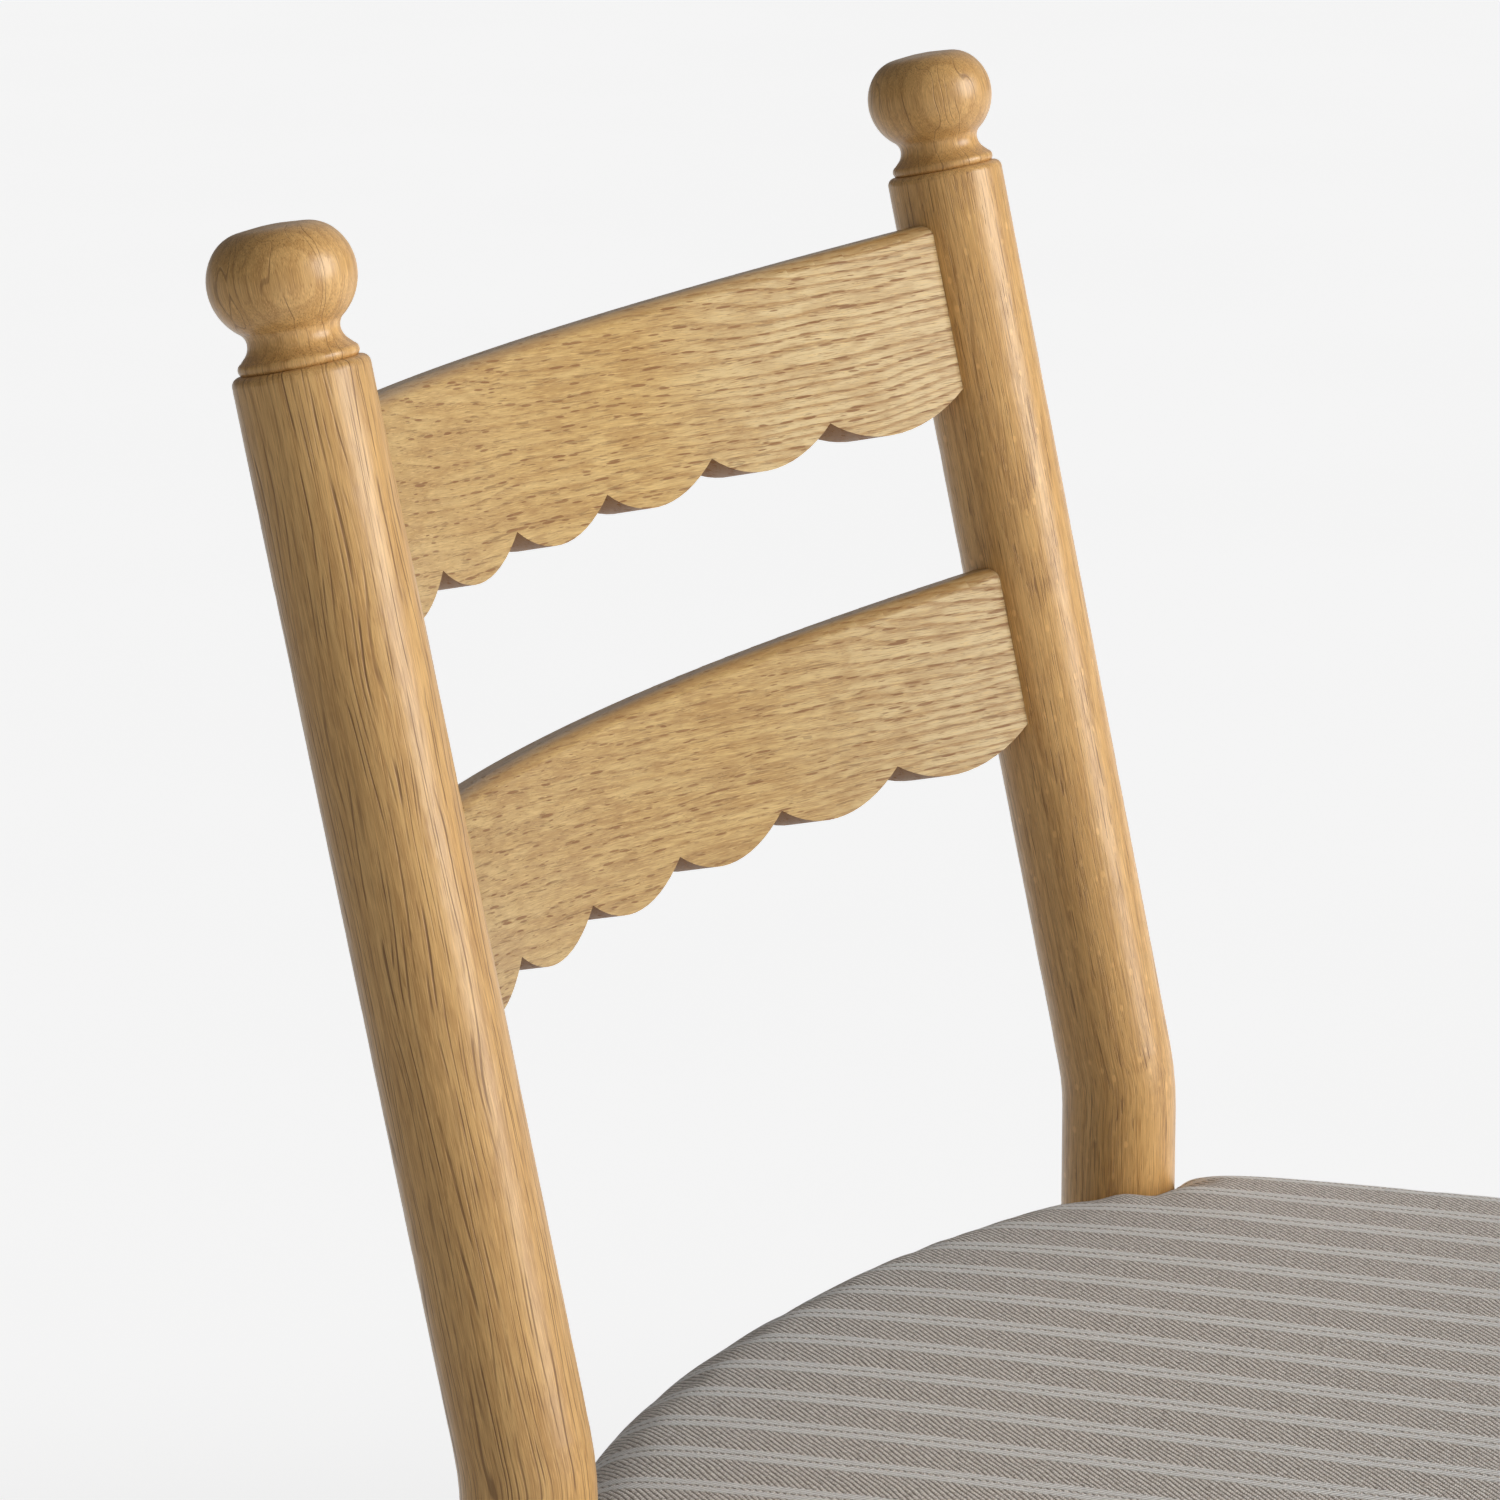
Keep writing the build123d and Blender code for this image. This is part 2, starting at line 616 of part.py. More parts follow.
# ------------------------------------------------------------------- glides
feet = [(-half, post_y), (half, post_y), (-front_dx, front_y), (front_dx, front_y)]
with BuildPart() as glide_nails:
    with BuildSketch(Plane.XY.offset(0.6)):
        with Locations(*feet):
            Circle(3.4)
    extrude(amount=1.2)
    with BuildSketch(Plane.XY.offset(1.4)):
        with Locations(*feet):
            Circle(1.3)
    extrude(amount=22.6)

with BuildPart() as foot_glides:
    with BuildSketch():
        with Locations(*feet):
            Circle(glide_d / 2)
    extrude(amount=glide_h - 0.05)
    chamfer(foot_glides.edges().filter_by(GeomType.CIRCLE).group_by(Axis.Z)[0], 0.8)
    with BuildSketch():
        with Locations(*feet):
            Circle(3.6)
    extrude(amount=1.85, mode=Mode.SUBTRACT)
    with BuildSketch():
        with Locations(*feet):
            Circle(1.4)
    extrude(amount=glide_h, mode=Mode.SUBTRACT)

# ---------------------------------------------------------------- the pieces
rear_post_left = make_rear_post(1)
rear_post_right = make_rear_post(-1)
finial_left = make_finial(1)
finial_right = make_finial(-1)
finial_dowel_left = make_finial_dowel(1)
finial_dowel_right = make_finial_dowel(-1)
upper_slat = make_slat(upper_notch_v, upper_top_v)
lower_slat = make_slat(lower_notch_v, lower_top_v)
front_leg_left = make_front_leg(1)
front_leg_right = make_front_leg(-1)
side_rail_left = make_side_rail(1)
side_rail_right = make_side_rail(-1)

r_rear_side = leg_radius(side_stretcher_z, foot_d_rear, taper_top_rear)
r_front_side = leg_radius(side_stretcher_z, foot_d_front, taper_top_front)
r_rear_cross = leg_radius(cross_stretcher_z, foot_d_rear, taper_top_rear)
r_front_cross = leg_radius(cross_stretcher_z, foot_d_front, taper_top_front)
side_stretcher_left = make_stretcher(Vector(half, post_y, side_stretcher_z), side_dir(1), side_len,
                                     r_rear_side, r_front_side)
side_stretcher_right = make_stretcher(Vector(-half, post_y, side_stretcher_z), side_dir(-1), side_len,
                                      r_rear_side, r_front_side)
front_stretcher = make_stretcher(Vector(-front_dx, front_y, cross_stretcher_z), Vector(1, 0, 0),
                                 2 * front_dx, r_front_cross, r_front_cross)
rear_stretcher = make_stretcher(Vector(-half, post_y, cross_stretcher_z), Vector(1, 0, 0),
                                2 * half, r_rear_cross, r_rear_cross)
corner_block_front_left = make_corner_block(1, False)
corner_block_front_right = make_corner_block(-1, False)
corner_block_rear_left = make_corner_block(1, True)
corner_block_rear_right = make_corner_block(-1, True)

pieces = {
    "rear_post_left": rear_post_left,
    "rear_post_right": rear_post_right,
    "finial_left": finial_left,
    "finial_right": finial_right,
    "finial_dowel_left": finial_dowel_left,
    "finial_dowel_right": finial_dowel_right,
    "upper_slat": upper_slat,
    "lower_slat": lower_slat,
    "front_leg_left": front_leg_left,
    "front_leg_right": front_leg_right,
    "front_rail": front_rail,
    "rear_rail": rear_rail,
    "side_rail_left": side_rail_left,
    "side_rail_right": side_rail_right,
    "side_stretcher_left": side_stretcher_left,
    "side_stretcher_right": side_stretcher_right,
    "front_stretcher": front_stretcher,
    "rear_stretcher": rear_stretcher,
    "corner_block_front_left": corner_block_front_left,
    "corner_block_front_right": corner_block_front_right,
    "corner_block_rear_left": corner_block_rear_left,
    "corner_block_rear_right": corner_block_rear_right,
    "corner_block_screws": corner_block_screws,
    "seat_board": seat_board,
    "seat_foam": seat_foam,
    "seat_cover": seat_cover,
    "cover_staples": cover_staples,
    "dust_cover": dust_cover,
    "seat_screws": seat_screws,
    "foot_glides": foot_glides,
    "glide_nails": glide_nails,
}

low = [1e9] * 3
high = [-1e9] * 3
for name, piece in pieces.items():
    piece.part.label = name
    export_step(piece.part, f"parts/{name}.step")
    box = piece.part.bounding_box()
    for i, (a, b) in enumerate(zip(tuple(box.min), tuple(box.max))):
        low[i] = min(low[i], a)
        high[i] = max(high[i], b)
print("low", [round(v, 2) for v in low], "high", [round(v, 2) for v in high])
print("middle", [round((a + b) / 2, 3) for a, b in zip(low, high)])
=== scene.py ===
import bpy
import bmesh
import math
import numpy as np
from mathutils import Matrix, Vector


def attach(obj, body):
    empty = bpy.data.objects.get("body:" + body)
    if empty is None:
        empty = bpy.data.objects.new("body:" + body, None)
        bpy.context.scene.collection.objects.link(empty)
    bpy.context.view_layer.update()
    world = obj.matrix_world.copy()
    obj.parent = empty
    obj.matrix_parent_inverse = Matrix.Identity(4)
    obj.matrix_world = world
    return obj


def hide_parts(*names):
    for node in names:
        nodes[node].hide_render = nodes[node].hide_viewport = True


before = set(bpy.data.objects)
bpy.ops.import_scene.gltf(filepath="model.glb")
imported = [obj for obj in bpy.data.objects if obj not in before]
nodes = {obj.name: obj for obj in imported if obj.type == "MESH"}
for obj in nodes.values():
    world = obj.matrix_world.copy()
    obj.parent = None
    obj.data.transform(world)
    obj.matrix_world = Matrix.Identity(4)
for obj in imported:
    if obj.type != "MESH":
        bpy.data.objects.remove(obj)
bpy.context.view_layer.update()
scene = bpy.context.scene

# ------------------------------------------------------------- key geometry
# The same driving sizes as the CAD model, in metres.
POST_Y = 0.14552
BEND_Z = 0.512
RAKE = math.radians(12.29)
HALF = 0.222
POST_R = 0.019
FRONT_DX = 0.232
FRONT_Y = POST_Y - 0.350
RAIL_TOP = 0.425
SA, CA = math.sin(RAKE), math.cos(RAKE)
UP = Vector((0.0, SA, CA))
BACK = Vector((0.0, CA, -SA))
BEND = Vector((0.0, POST_Y, BEND_Z))
FACE_HALF = HALF - POST_R
SLAT_BOW = 0.0316
SLAT_W0 = -0.0004


# ------------------------------------------------------------ node plumbing
class Tree:
    """Short calls for building a material's nodes."""

    def __init__(self, name):
        self.mat = bpy.data.materials.new(name)
        self.mat.use_nodes = True
        self.nt = self.mat.node_tree
        self.bsdf = self.nt.nodes["Principled BSDF"]
        self.out = self.nt.nodes["Material Output"]
        self.x = -200

    def add(self, kind, **props):
        n = self.nt.nodes.new(kind)
        for k, v in props.items():
            setattr(n, k, v)
        n.location = (self.x, 0)
        self.x -= 20
        return n

    def put(self, socket, value):
        if isinstance(value, bpy.types.NodeSocket):
            self.nt.links.new(value, socket)
        elif value is not None:
            socket.default_value = value

    def pos(self):
        return self.add("ShaderNodeTexCoord").outputs["Object"]

    def math(self, op, a, b=None, c=None, clamp=False):
        n = self.add("ShaderNodeMath", operation=op, use_clamp=clamp)
        self.put(n.inputs[0], a)
        if b is not None:
            self.put(n.inputs[1], b)
        if c is not None:
            self.put(n.inputs[2], c)
        return n.outputs[0]

    def vmath(self, op, a, b=None):
        n = self.add("ShaderNodeVectorMath", operation=op)
        self.put(n.inputs[0], a)
        if b is not None:
            self.put(n.inputs[1], b)
        return n.outputs["Value"] if op in ("DOT_PRODUCT", "LENGTH", "DISTANCE") else n.outputs["Vector"]

    def dot(self, p, v, offset=0.0):
        return self.math("ADD", self.vmath("DOT_PRODUCT", p, tuple(v)), offset)

    def xyz(self, x=0.0, y=0.0, z=0.0):
        n = self.add("ShaderNodeCombineXYZ")
        self.put(n.inputs[0], x)
        self.put(n.inputs[1], y)
        self.put(n.inputs[2], z)
        return n.outputs[0]

    def split(self, v):
        n = self.add("ShaderNodeSeparateXYZ")
        self.put(n.inputs[0], v)
        return n.outputs[0], n.outputs[1], n.outputs[2]

    def noise(self, vec, scale=1.0, detail=2.0, rough=0.5, dist=0.0):
        n = self.add("ShaderNodeTexNoise")
        self.put(n.inputs["Vector"], vec)
        n.inputs["Scale"].default_value = scale
        n.inputs["Detail"].default_value = detail
        n.inputs["Roughness"].default_value = rough
        n.inputs["Distortion"].default_value = dist
        return n.outputs["Fac"]

    def voronoi(self, vec, scale=1.0, feature="F1", rand=1.0):
        n = self.add("ShaderNodeTexVoronoi", feature=feature)
        self.put(n.inputs["Vector"], vec)
        n.inputs["Scale"].default_value = scale
        n.inputs["Randomness"].default_value = rand
        return n.outputs["Distance"], n.outputs["Color"]

    def remap(self, v, a0, a1, b0=0.0, b1=1.0, smooth=True):
        n = self.add("ShaderNodeMapRange", interpolation_type="SMOOTHSTEP" if smooth else "LINEAR")
        self.put(n.inputs["Value"], v)
        n.inputs["From Min"].default_value = a0
        n.inputs["From Max"].default_value = a1
        n.inputs["To Min"].default_value = b0
        n.inputs["To Max"].default_value = b1
        return n.outputs["Result"]

    def ramp(self, fac, stops, ease="LINEAR"):
        n = self.add("ShaderNodeValToRGB")
        n.color_ramp.interpolation = ease
        els = n.color_ramp.elements
        while len(els) < len(stops):
            els.new(0.5)
        for e, (p, c) in zip(els, stops):
            e.position = p
            e.color = (c[0], c[1], c[2], 1.0) if hasattr(c, "__len__") else (c, c, c, 1.0)
        self.put(n.inputs[0], fac)
        return n.outputs[0]

    def mix(self, fac, a, b, mode="MIX"):
        n = self.add("ShaderNodeMix", data_type="RGBA", blend_type=mode, clamp_factor=True)
        self.put(n.inputs[0], fac)
        self.put(n.inputs[6], (*a, 1.0) if isinstance(a, tuple) and len(a) == 3 else a)
        self.put(n.inputs[7], (*b, 1.0) if isinstance(b, tuple) and len(b) == 3 else b)
        return n.outputs[2]

    def bump(self, height, distance, strength=1.0, normal=None):
        n = self.add("ShaderNodeBump")
        n.inputs["Strength"].default_value = strength
        n.inputs["Distance"].default_value = distance
        self.put(n.inputs["Height"], height)
        if normal is not None:
            self.put(n.inputs["Normal"], normal)
        return n.outputs[0]

    def finish(self, color=None, rough=None, normal=None, **consts):
        b = self.bsdf
        if color is not None:
            self.put(b.inputs["Base Color"], (*color, 1.0) if isinstance(color, tuple) else color)
        if rough is not None:
            self.put(b.inputs["Roughness"], rough)
        if normal is not None:
            self.put(b.inputs["Normal"], normal)
        for k, v in consts.items():
            b.inputs[k.replace("_", " ")].default_value = v
        return self.mat


# ---------------------------------------------------------------- oak
OAK_POST = ((0.640, 0.385, 0.142), (0.530, 0.298, 0.100), (0.370, 0.182, 0.050))
OAK_SLAT = ((0.700, 0.480, 0.195), (0.600, 0.375, 0.132), (0.400, 0.205, 0.058))
OAK_PORE = (0.170, 0.078, 0.024)


def oak(name, coords, pith=(60.0, 20.0), lean=(0.0, 0.0), ring=3.0, seed=0.0, pore_len=60.0,
        pore_turn=0.0, pore_w=0.62, pores_on=1.0, dashes=0.0, band=0.5, ray=0.5, wave=1.5, tone=1.0, palette=OAK_POST,
        swirl=0.0, bow=0.0, coat=0.42, under=0.0, ends=None, lines=0.0, line_gap=1.7, rows=None):
    """Lacquered oak. coords(tree) gives (across, radial, along) in millimetres, along the grain."""
    light, mid, deep = palette
    t = Tree(name)
    u, w, s = coords(t)
    us = t.math("ADD", u, seed * 37.0)
    ws = t.math("ADD", w, seed * 91.0)
    ss = t.math("ADD", s, seed * 53.0)
    # the grain wanders slowly along the stick
    wander = t.noise(t.xyz(t.math("MULTIPLY", us, 0.022), t.math("MULTIPLY", ws, 0.022),
                           t.math("MULTIPLY", ss, 0.0075)), 1.0, 2.0, 0.5)
    ripple = t.noise(t.xyz(t.math("MULTIPLY", us, 0.11), t.math("MULTIPLY", ws, 0.11),
                           t.math("MULTIPLY", ss, 0.030)), 1.0, 2.0, 0.5)
    wob = t.math("ADD", t.math("MULTIPLY", t.math("SUBTRACT", wander, 0.5), wave * 9.0),
                 t.math("MULTIPLY", t.math("SUBTRACT", ripple, 0.5), wave * 1.5))
    # growth rings round a pith that lies outside the stick
    du = t.math("SUBTRACT", t.math("SUBTRACT", u, pith[0]), t.math("MULTIPLY", s, lean[0]))
    dw = t.math("SUBTRACT", t.math("SUBTRACT", w, pith[1]), t.math("MULTIPLY", s, lean[1]))
    if bow:
        dw = t.math("ADD", dw, t.math("MULTIPLY", t.math("MULTIPLY", s, s), bow))
    radius = t.math("SQRT", t.math("ADD", t.math("MULTIPLY", du, du), t.math("MULTIPLY", dw, dw)))
    radius = t.math("ADD", radius, wob)
    uneven = t.noise(t.xyz(t.math("MULTIPLY", radius, 0.10), seed, 0.0), 1.0, 1.0, 0.6)
    phase = t.math("FRACT", t.math("ADD", t.math("DIVIDE", radius, ring), t.math("MULTIPLY", uneven, 1.8)))
    early = t.ramp(phase, [(0.0, 0.75), (0.07, 1.0), (0.30, 0.55), (0.62, 0.10), (0.90, 0.0), (1.0, 0.75)], "EASE")
    late = t.ramp(phase, [(0.0, 0.4), (0.15, 0.0), (0.55, 0.25), (0.88, 1.0), (1.0, 0.4)], "EASE")
    # vessels: thin and very long, thickest in the early wood
    ct, st = math.cos(pore_turn), math.sin(pore_turn)
    pu = t.math("ADD", t.math("MULTIPLY", us, ct), t.math("MULTIPLY", ss, st))
    ps = t.math("SUBTRACT", t.math("MULTIPLY", ss, ct), t.math("MULTIPLY", us, st))
    pu = t.math("ADD", pu, t.math("MULTIPLY", t.math("SUBTRACT", ripple, 0.5), 1.8))
    n1 = t.noise(t.xyz(t.math("DIVIDE", pu, pore_w), t.math("DIVIDE", ws, pore_w),
                       t.math("DIVIDE", ps, pore_len)), 1.0, 1.0, 0.45)
    th1 = t.math("SUBTRACT", 0.700, t.math("MULTIPLY", early, 0.085))
    line1 = t.math("DIVIDE", t.math("SUBTRACT", n1, th1), 0.035, clamp=True)
    n2 = t.noise(t.xyz(t.math("DIVIDE", pu, pore_w * 0.62), t.math("DIVIDE", ws, pore_w * 0.62),
                       t.math("DIVIDE", ps, pore_len * 0.22)), 1.0, 1.0, 0.5)
    th2 = t.math("SUBTRACT", 0.665, t.math("MULTIPLY", early, 0.085))
    line2 = t.math("DIVIDE", t.math("SUBTRACT", n2, th2), 0.06, clamp=True)
    pores = t.math("MULTIPLY", t.math("MAXIMUM", t.math("MULTIPLY", line1, 0.95),
                                      t.math("MULTIPLY", line2, 0.50)), pores_on)
    if lines:
        # long thin vessel lines round the stick, which wander and fade in and out
        turn = t.math("MULTIPLY", t.math("ARCTAN2", w, u), 19.0 / line_gap)
        drift = t.noise(t.xyz(t.math("DIVIDE", us, 9.0), t.math("DIVIDE", ws, 9.0),
                              t.math("DIVIDE", ss, 75.0)), 1.0, 1.0, 0.5)
        turn = t.math("ADD", turn, t.math("MULTIPLY", drift, 5.0))
        index = t.math("FLOOR", turn)
        jit = t.add("ShaderNodeTexWhiteNoise", noise_dimensions="1D")
        t.put(jit.inputs["W"], t.math("ADD", index, seed * 3.0))
        j1, j2, j3 = t.split(jit.outputs["Color"])
        middle = t.math("ADD", 0.5, t.math("MULTIPLY", t.math("SUBTRACT", j1, 0.5), 0.6))
        gap = t.math("MULTIPLY", t.math("ABSOLUTE", t.math("SUBTRACT", t.math("FRACT", turn), middle)), line_gap)
        wide = t.math("ADD", t.math("MULTIPLY", j2, 0.12), 0.24)
        thin = t.math("SUBTRACT", 1.0, t.math("DIVIDE", gap, wide), clamp=True)
        thin = t.math("MULTIPLY", thin, 1.8, clamp=True)
        broken = t.noise(t.xyz(t.math("MULTIPLY", index, 7.31), t.math("DIVIDE", ss, 30.0), seed), 1.0, 2.0, 0.6)
        thin = t.math("MULTIPLY", t.math("MULTIPLY", thin, t.remap(broken, 0.40, 0.58)), lines)
        thin = t.math("MULTIPLY", thin, t.math("ADD", t.math("MULTIPLY", j3, 0.35), 0.65))
        pores = t.math("MAXIMUM", pores, thin)
    if dashes:
        # cut at a slant the same vessels show as short dashes
        dv, dc = t.voronoi(t.xyz(t.math("DIVIDE", pu, 1.10), t.math("DIVIDE", ws, 1.8),
                                 t.math("DIVIDE", ps, 12.0)))
        r1, r2, r3 = t.split(dc)
        size = t.math("ADD", t.math("MULTIPLY", t.math("MULTIPLY", r1, r1), 0.26),
                      t.math("MULTIPLY", early, 0.30))
        dash = t.math("DIVIDE", t.math("SUBTRACT", size, dv), 0.10, clamp=True)
        dash = t.math("MULTIPLY", dash, t.math("ADD", t.math("MULTIPLY", r2, 0.55), 0.45))
        dash = t.math("MULTIPLY", dash, dashes)
    # fibre, streaks and slow changes of shade
    fibre = t.noise(t.xyz(t.math("DIVIDE", pu, 0.34), t.math("DIVIDE", ws, 0.34),
                          t.math("DIVIDE", ps, 9.0)), 1.0, 2.0, 0.6)
    streak = t.noise(t.xyz(t.math("DIVIDE", pu, 2.6), t.math("DIVIDE", ws, 2.6),
                           t.math("DIVIDE", ps, 60.0)), 1.0, 3.0, 0.6)
    blotch = t.noise(t.xyz(t.math("DIVIDE", us, 16.0), t.math("DIVIDE", ws, 16.0),
                           t.math("DIVIDE", ss, 55.0)), 1.0, 2.0, 0.5)
    # medullary rays, thin round the ring and broad along the radius
    tang = t.math("MULTIPLY", t.math("ARCTAN2", dw, du), math.hypot(*pith))
    dr, cr = t.voronoi(t.xyz(t.math("DIVIDE", tang, 2.4), t.math("DIVIDE", radius, 9.0),
                             t.math("DIVIDE", ss, 6.0)))
    rays = t.math("DIVIDE", t.math("SUBTRACT", 0.26, dr), 0.10, clamp=True)
    rays = t.math("MULTIPLY", rays, t.remap(t.split(cr)[0], 0.35, 0.8))
    # colour
    base = t.mix(t.remap(streak, 0.34, 0.68), light, mid)
    base = t.mix(t.math("MULTIPLY", t.remap(blotch, 0.38, 0.66), 0.45), base, mid)
    base = t.mix(t.math("MULTIPLY", late, band * 0.16), base, tuple(min(1.0, c * 1.15) for c in light))
    base = t.mix(t.math("MULTIPLY", early, band * 0.85), base, deep)
    if rows:
        # towards one end the board was cut flat through the rings: cream and brown rows
        k = t.remap(s, rows[0], rows[1])
        base = t.mix(t.math("MULTIPLY", k, 0.62), base, (0.810, 0.650, 0.380))
        edge = t.math("ADD", early, t.math("MULTIPLY", t.math("SUBTRACT", fibre, 0.5), 1.2))
        base = t.mix(t.math("MULTIPLY", t.math("MULTIPLY", t.remap(edge, 0.30, 0.85), k), 0.66), base,
                     (0.430, 0.225, 0.070))
    if swirl:
        # broad soft figure where the rings run out across the face
        fig = t.noise(t.xyz(t.math("DIVIDE", pu, 5.0), t.math("DIVIDE", ws, 9.0),
                            t.math("DIVIDE", ps, 26.0)), 1.0, 2.0, 0.5, 0.8)
        base = t.mix(t.math("MULTIPLY", t.remap(fig, 0.40, 0.62), swirl), base, deep)
    base = t.mix(t.math("MULTIPLY", t.remap(fibre, 0.50, 0.74), 0.75), base, deep)
    base = t.mix(t.math("MULTIPLY", t.remap(fibre, 0.50, 0.26), 0.55), base,
                 tuple(min(1.0, c * 1.28) for c in light))
    base = t.mix(t.math("MULTIPLY", rays, ray), base, tuple(min(1.0, c * 1.22) for c in light))
    base = t.mix(t.math("MULTIPLY", pores, 0.88), base, OAK_PORE)
    if dashes:
        base = t.mix(dash, base, (0.270, 0.112, 0.028))
        pores = t.math("MAXIMUM", pores, t.math("MULTIPLY", dash, 0.8))
    if under or ends:
        # painted shade: faces turned down are darkened and lose most of their coat and specular, and faces turned up
        # are darkened too; where the grain runs out at the ends the finish soaks in and darkens
        nrm = t.add("ShaderNodeNewGeometry").outputs["Normal"]
        if under:
            # painted shade under things: faces turned down are mixed towards a dark brown
            k = t.remap(t.math("MULTIPLY", t.split(nrm)[2], -1.0), 0.10, 0.55)
            t.put(t.bsdf.inputs["Coat Weight"], t.math("MULTIPLY", t.math("SUBTRACT", 1.0, k), coat))
            t.put(t.bsdf.inputs["Specular IOR Level"], t.math("SUBTRACT", 0.34, t.math("MULTIPLY", k, 0.28)))
            base = t.mix(t.math("MULTIPLY", k, under), base, (0.330, 0.140, 0.036))
            # painted shade: faces turned up are darkened towards the deep tone
            top = t.remap(t.split(nrm)[2], 0.30, 0.75)
            base = t.mix(t.math("MULTIPLY", top, 0.55), base, deep)
        if ends:
            k = t.remap(t.math("ABSOLUTE", t.dot(nrm, ends)), 0.28, 0.85)
            dots, _ = t.voronoi(t.xyz(t.math("DIVIDE", us, 0.62), t.math("DIVIDE", ws, 0.62),
                                      t.math("DIVIDE", ss, 3.0)))
            dots = t.remap(dots, 0.42, 0.16)
            base = t.mix(t.math("MULTIPLY", k, 0.18), base, deep)
            base = t.mix(t.math("MULTIPLY", t.math("MULTIPLY", dots, k), 0.55), base, OAK_PORE)
    if tone != 1.0:
        hsv = t.add("ShaderNodeHueSaturation")
        hsv.inputs["Value"].default_value = tone
        t.put(hsv.inputs["Color"], base)
        base = hsv.outputs[0]
    rough = t.math("ADD", t.math("MULTIPLY", pores, 0.25),
                   t.math("ADD", t.math("MULTIPLY", fibre, 0.12), 0.33), clamp=True)
    height = t.math("ADD", t.math("MULTIPLY", pores, -1.0), t.math("MULTIPLY", fibre, 0.35))
    height = t.math("ADD", height, t.math("MULTIPLY", late, 0.10))
    return t.finish(base, rough, t.bump(height, 0.00016, 0.8), Coat_Weight=coat, Coat_Roughness=0.30,
                    Specular_IOR_Level=0.34)


def post_coords(s):
    """Grain of a bent post: it follows the bend."""
    def coords(t):
        p = t.pos()
        u = t.math("MULTIPLY", t.dot(p, (1, 0, 0), -s * HALF), 1000.0)
        v_hi = t.dot(p, UP, -UP.dot(BEND))
        w_hi = t.dot(p, BACK, -BACK.dot(BEND))
        v_lo = t.dot(p, (0, 0, 1), -BEND_Z)
        w_lo = t.dot(p, (0, 1, 0), -POST_Y)
        mid = t.math("MULTIPLY", t.math("ADD", v_hi, v_lo), 0.5)
        k = t.remap(mid, -0.012, 0.012)
        w = t.math("ADD", t.math("MULTIPLY", w_hi, k), t.math("MULTIPLY", w_lo, t.math("SUBTRACT", 1.0, k)))
        v = t.math("ADD", t.math("MULTIPLY", v_hi, k), t.math("MULTIPLY", v_lo, t.math("SUBTRACT", 1.0, k)))
        return u, t.math("MULTIPLY", w, 1000.0), t.math("MULTIPLY", v, 1000.0)
    return coords


def slat_coords(v_mid):
    """Grain of a bowed slat: along its length, following the bow."""
    def coords(t):
        p = t.pos()
        x = t.split(p)[0]
        v = t.dot(p, UP, -UP.dot(BEND) - v_mid)
        w = t.dot(p, BACK, -BACK.dot(BEND))
        q = t.math("DIVIDE", x, FACE_HALF)
        bow = t.math("MULTIPLY", t.math("SUBTRACT", 1.0, t.math("MULTIPLY", q, q)), SLAT_BOW)
        w = t.math("SUBTRACT", w, bow)
        return (t.math("MULTIPLY", v, 1000.0), t.math("MULTIPLY", w, 1000.0), t.math("MULTIPLY", x, 1000.0))
    return coords


def frame_coords(origin, across, radial, along):
    def coords(t):
        p = t.pos()
        out = []
        for d in (across, radial, along):
            d = Vector(d).normalized()
            out.append(t.math("MULTIPLY", t.dot(p, d, -d.dot(Vector(origin))), 1000.0))
        return tuple(out)
    return coords


def dress(node, mat):
    o = nodes[node]
    o.data.materials.clear()
    o.data.materials.append(mat)


# rear posts
dress("rear_post_right", oak("oak_post_right", post_coords(-1), pith=(-34.0, -52.0), lean=(0.055, 0.035), ring=3.6,
                             seed=1.0, pore_len=95.0, pores_on=0.22, lines=1.0, line_gap=1.9, band=0.36, ray=0.10, wave=2.2,
                             tone=1.04))
dress("rear_post_left", oak("oak_post_left", post_coords(1), pith=(40.0, 44.0), lean=(0.020, 0.016), ring=3.0,
                            seed=2.3, pore_len=24.0, pore_w=0.55, pores_on=0.8, lines=0.35, band=0.38, ray=0.60, wave=1.4,
                            tone=1.16))
for s, n, seed in ((1, "left", 3.1), (-1, "right", 4.7)):
    dress("finial_" + n, oak("oak_finial_" + n, post_coords(s), pith=(-36.0 if s < 0 else -30.0, -22.0),
                             lean=(0.01, 0.0), ring=3.6, seed=seed, pore_len=70.0, pores_on=0.22, lines=0.75,
                             line_gap=3.6, band=0.44, ray=0.05, wave=0.8, tone=1.10, ends=UP))
# under=0.85 paints shade on the slats' faces turned down and up
dress("upper_slat", oak("oak_upper_slat", slat_coords(0.266), pith=(60.0, 50.0), lean=(0.0, -0.10), ring=2.9,
                        seed=5.2, pore_len=14.0, pore_turn=0.08, pores_on=0.5, dashes=0.95, band=0.40, ray=0.10,
                        wave=1.3, palette=OAK_SLAT, swirl=0.34, under=0.85, tone=0.84, coat=0.22, rows=(20.0, 130.0)))
dress("lower_slat", oak("oak_lower_slat", slat_coords(0.153), pith=(54.0, 56.0), lean=(0.0, -0.11), ring=2.9,
                        seed=6.9, pore_len=14.0, pore_turn=0.10, pores_on=0.5, dashes=0.95, band=0.42, ray=0.10,
                        wave=1.5, palette=OAK_SLAT, swirl=0.42, under=0.85, tone=0.79, coat=0.22, rows=(40.0, 190.0)))
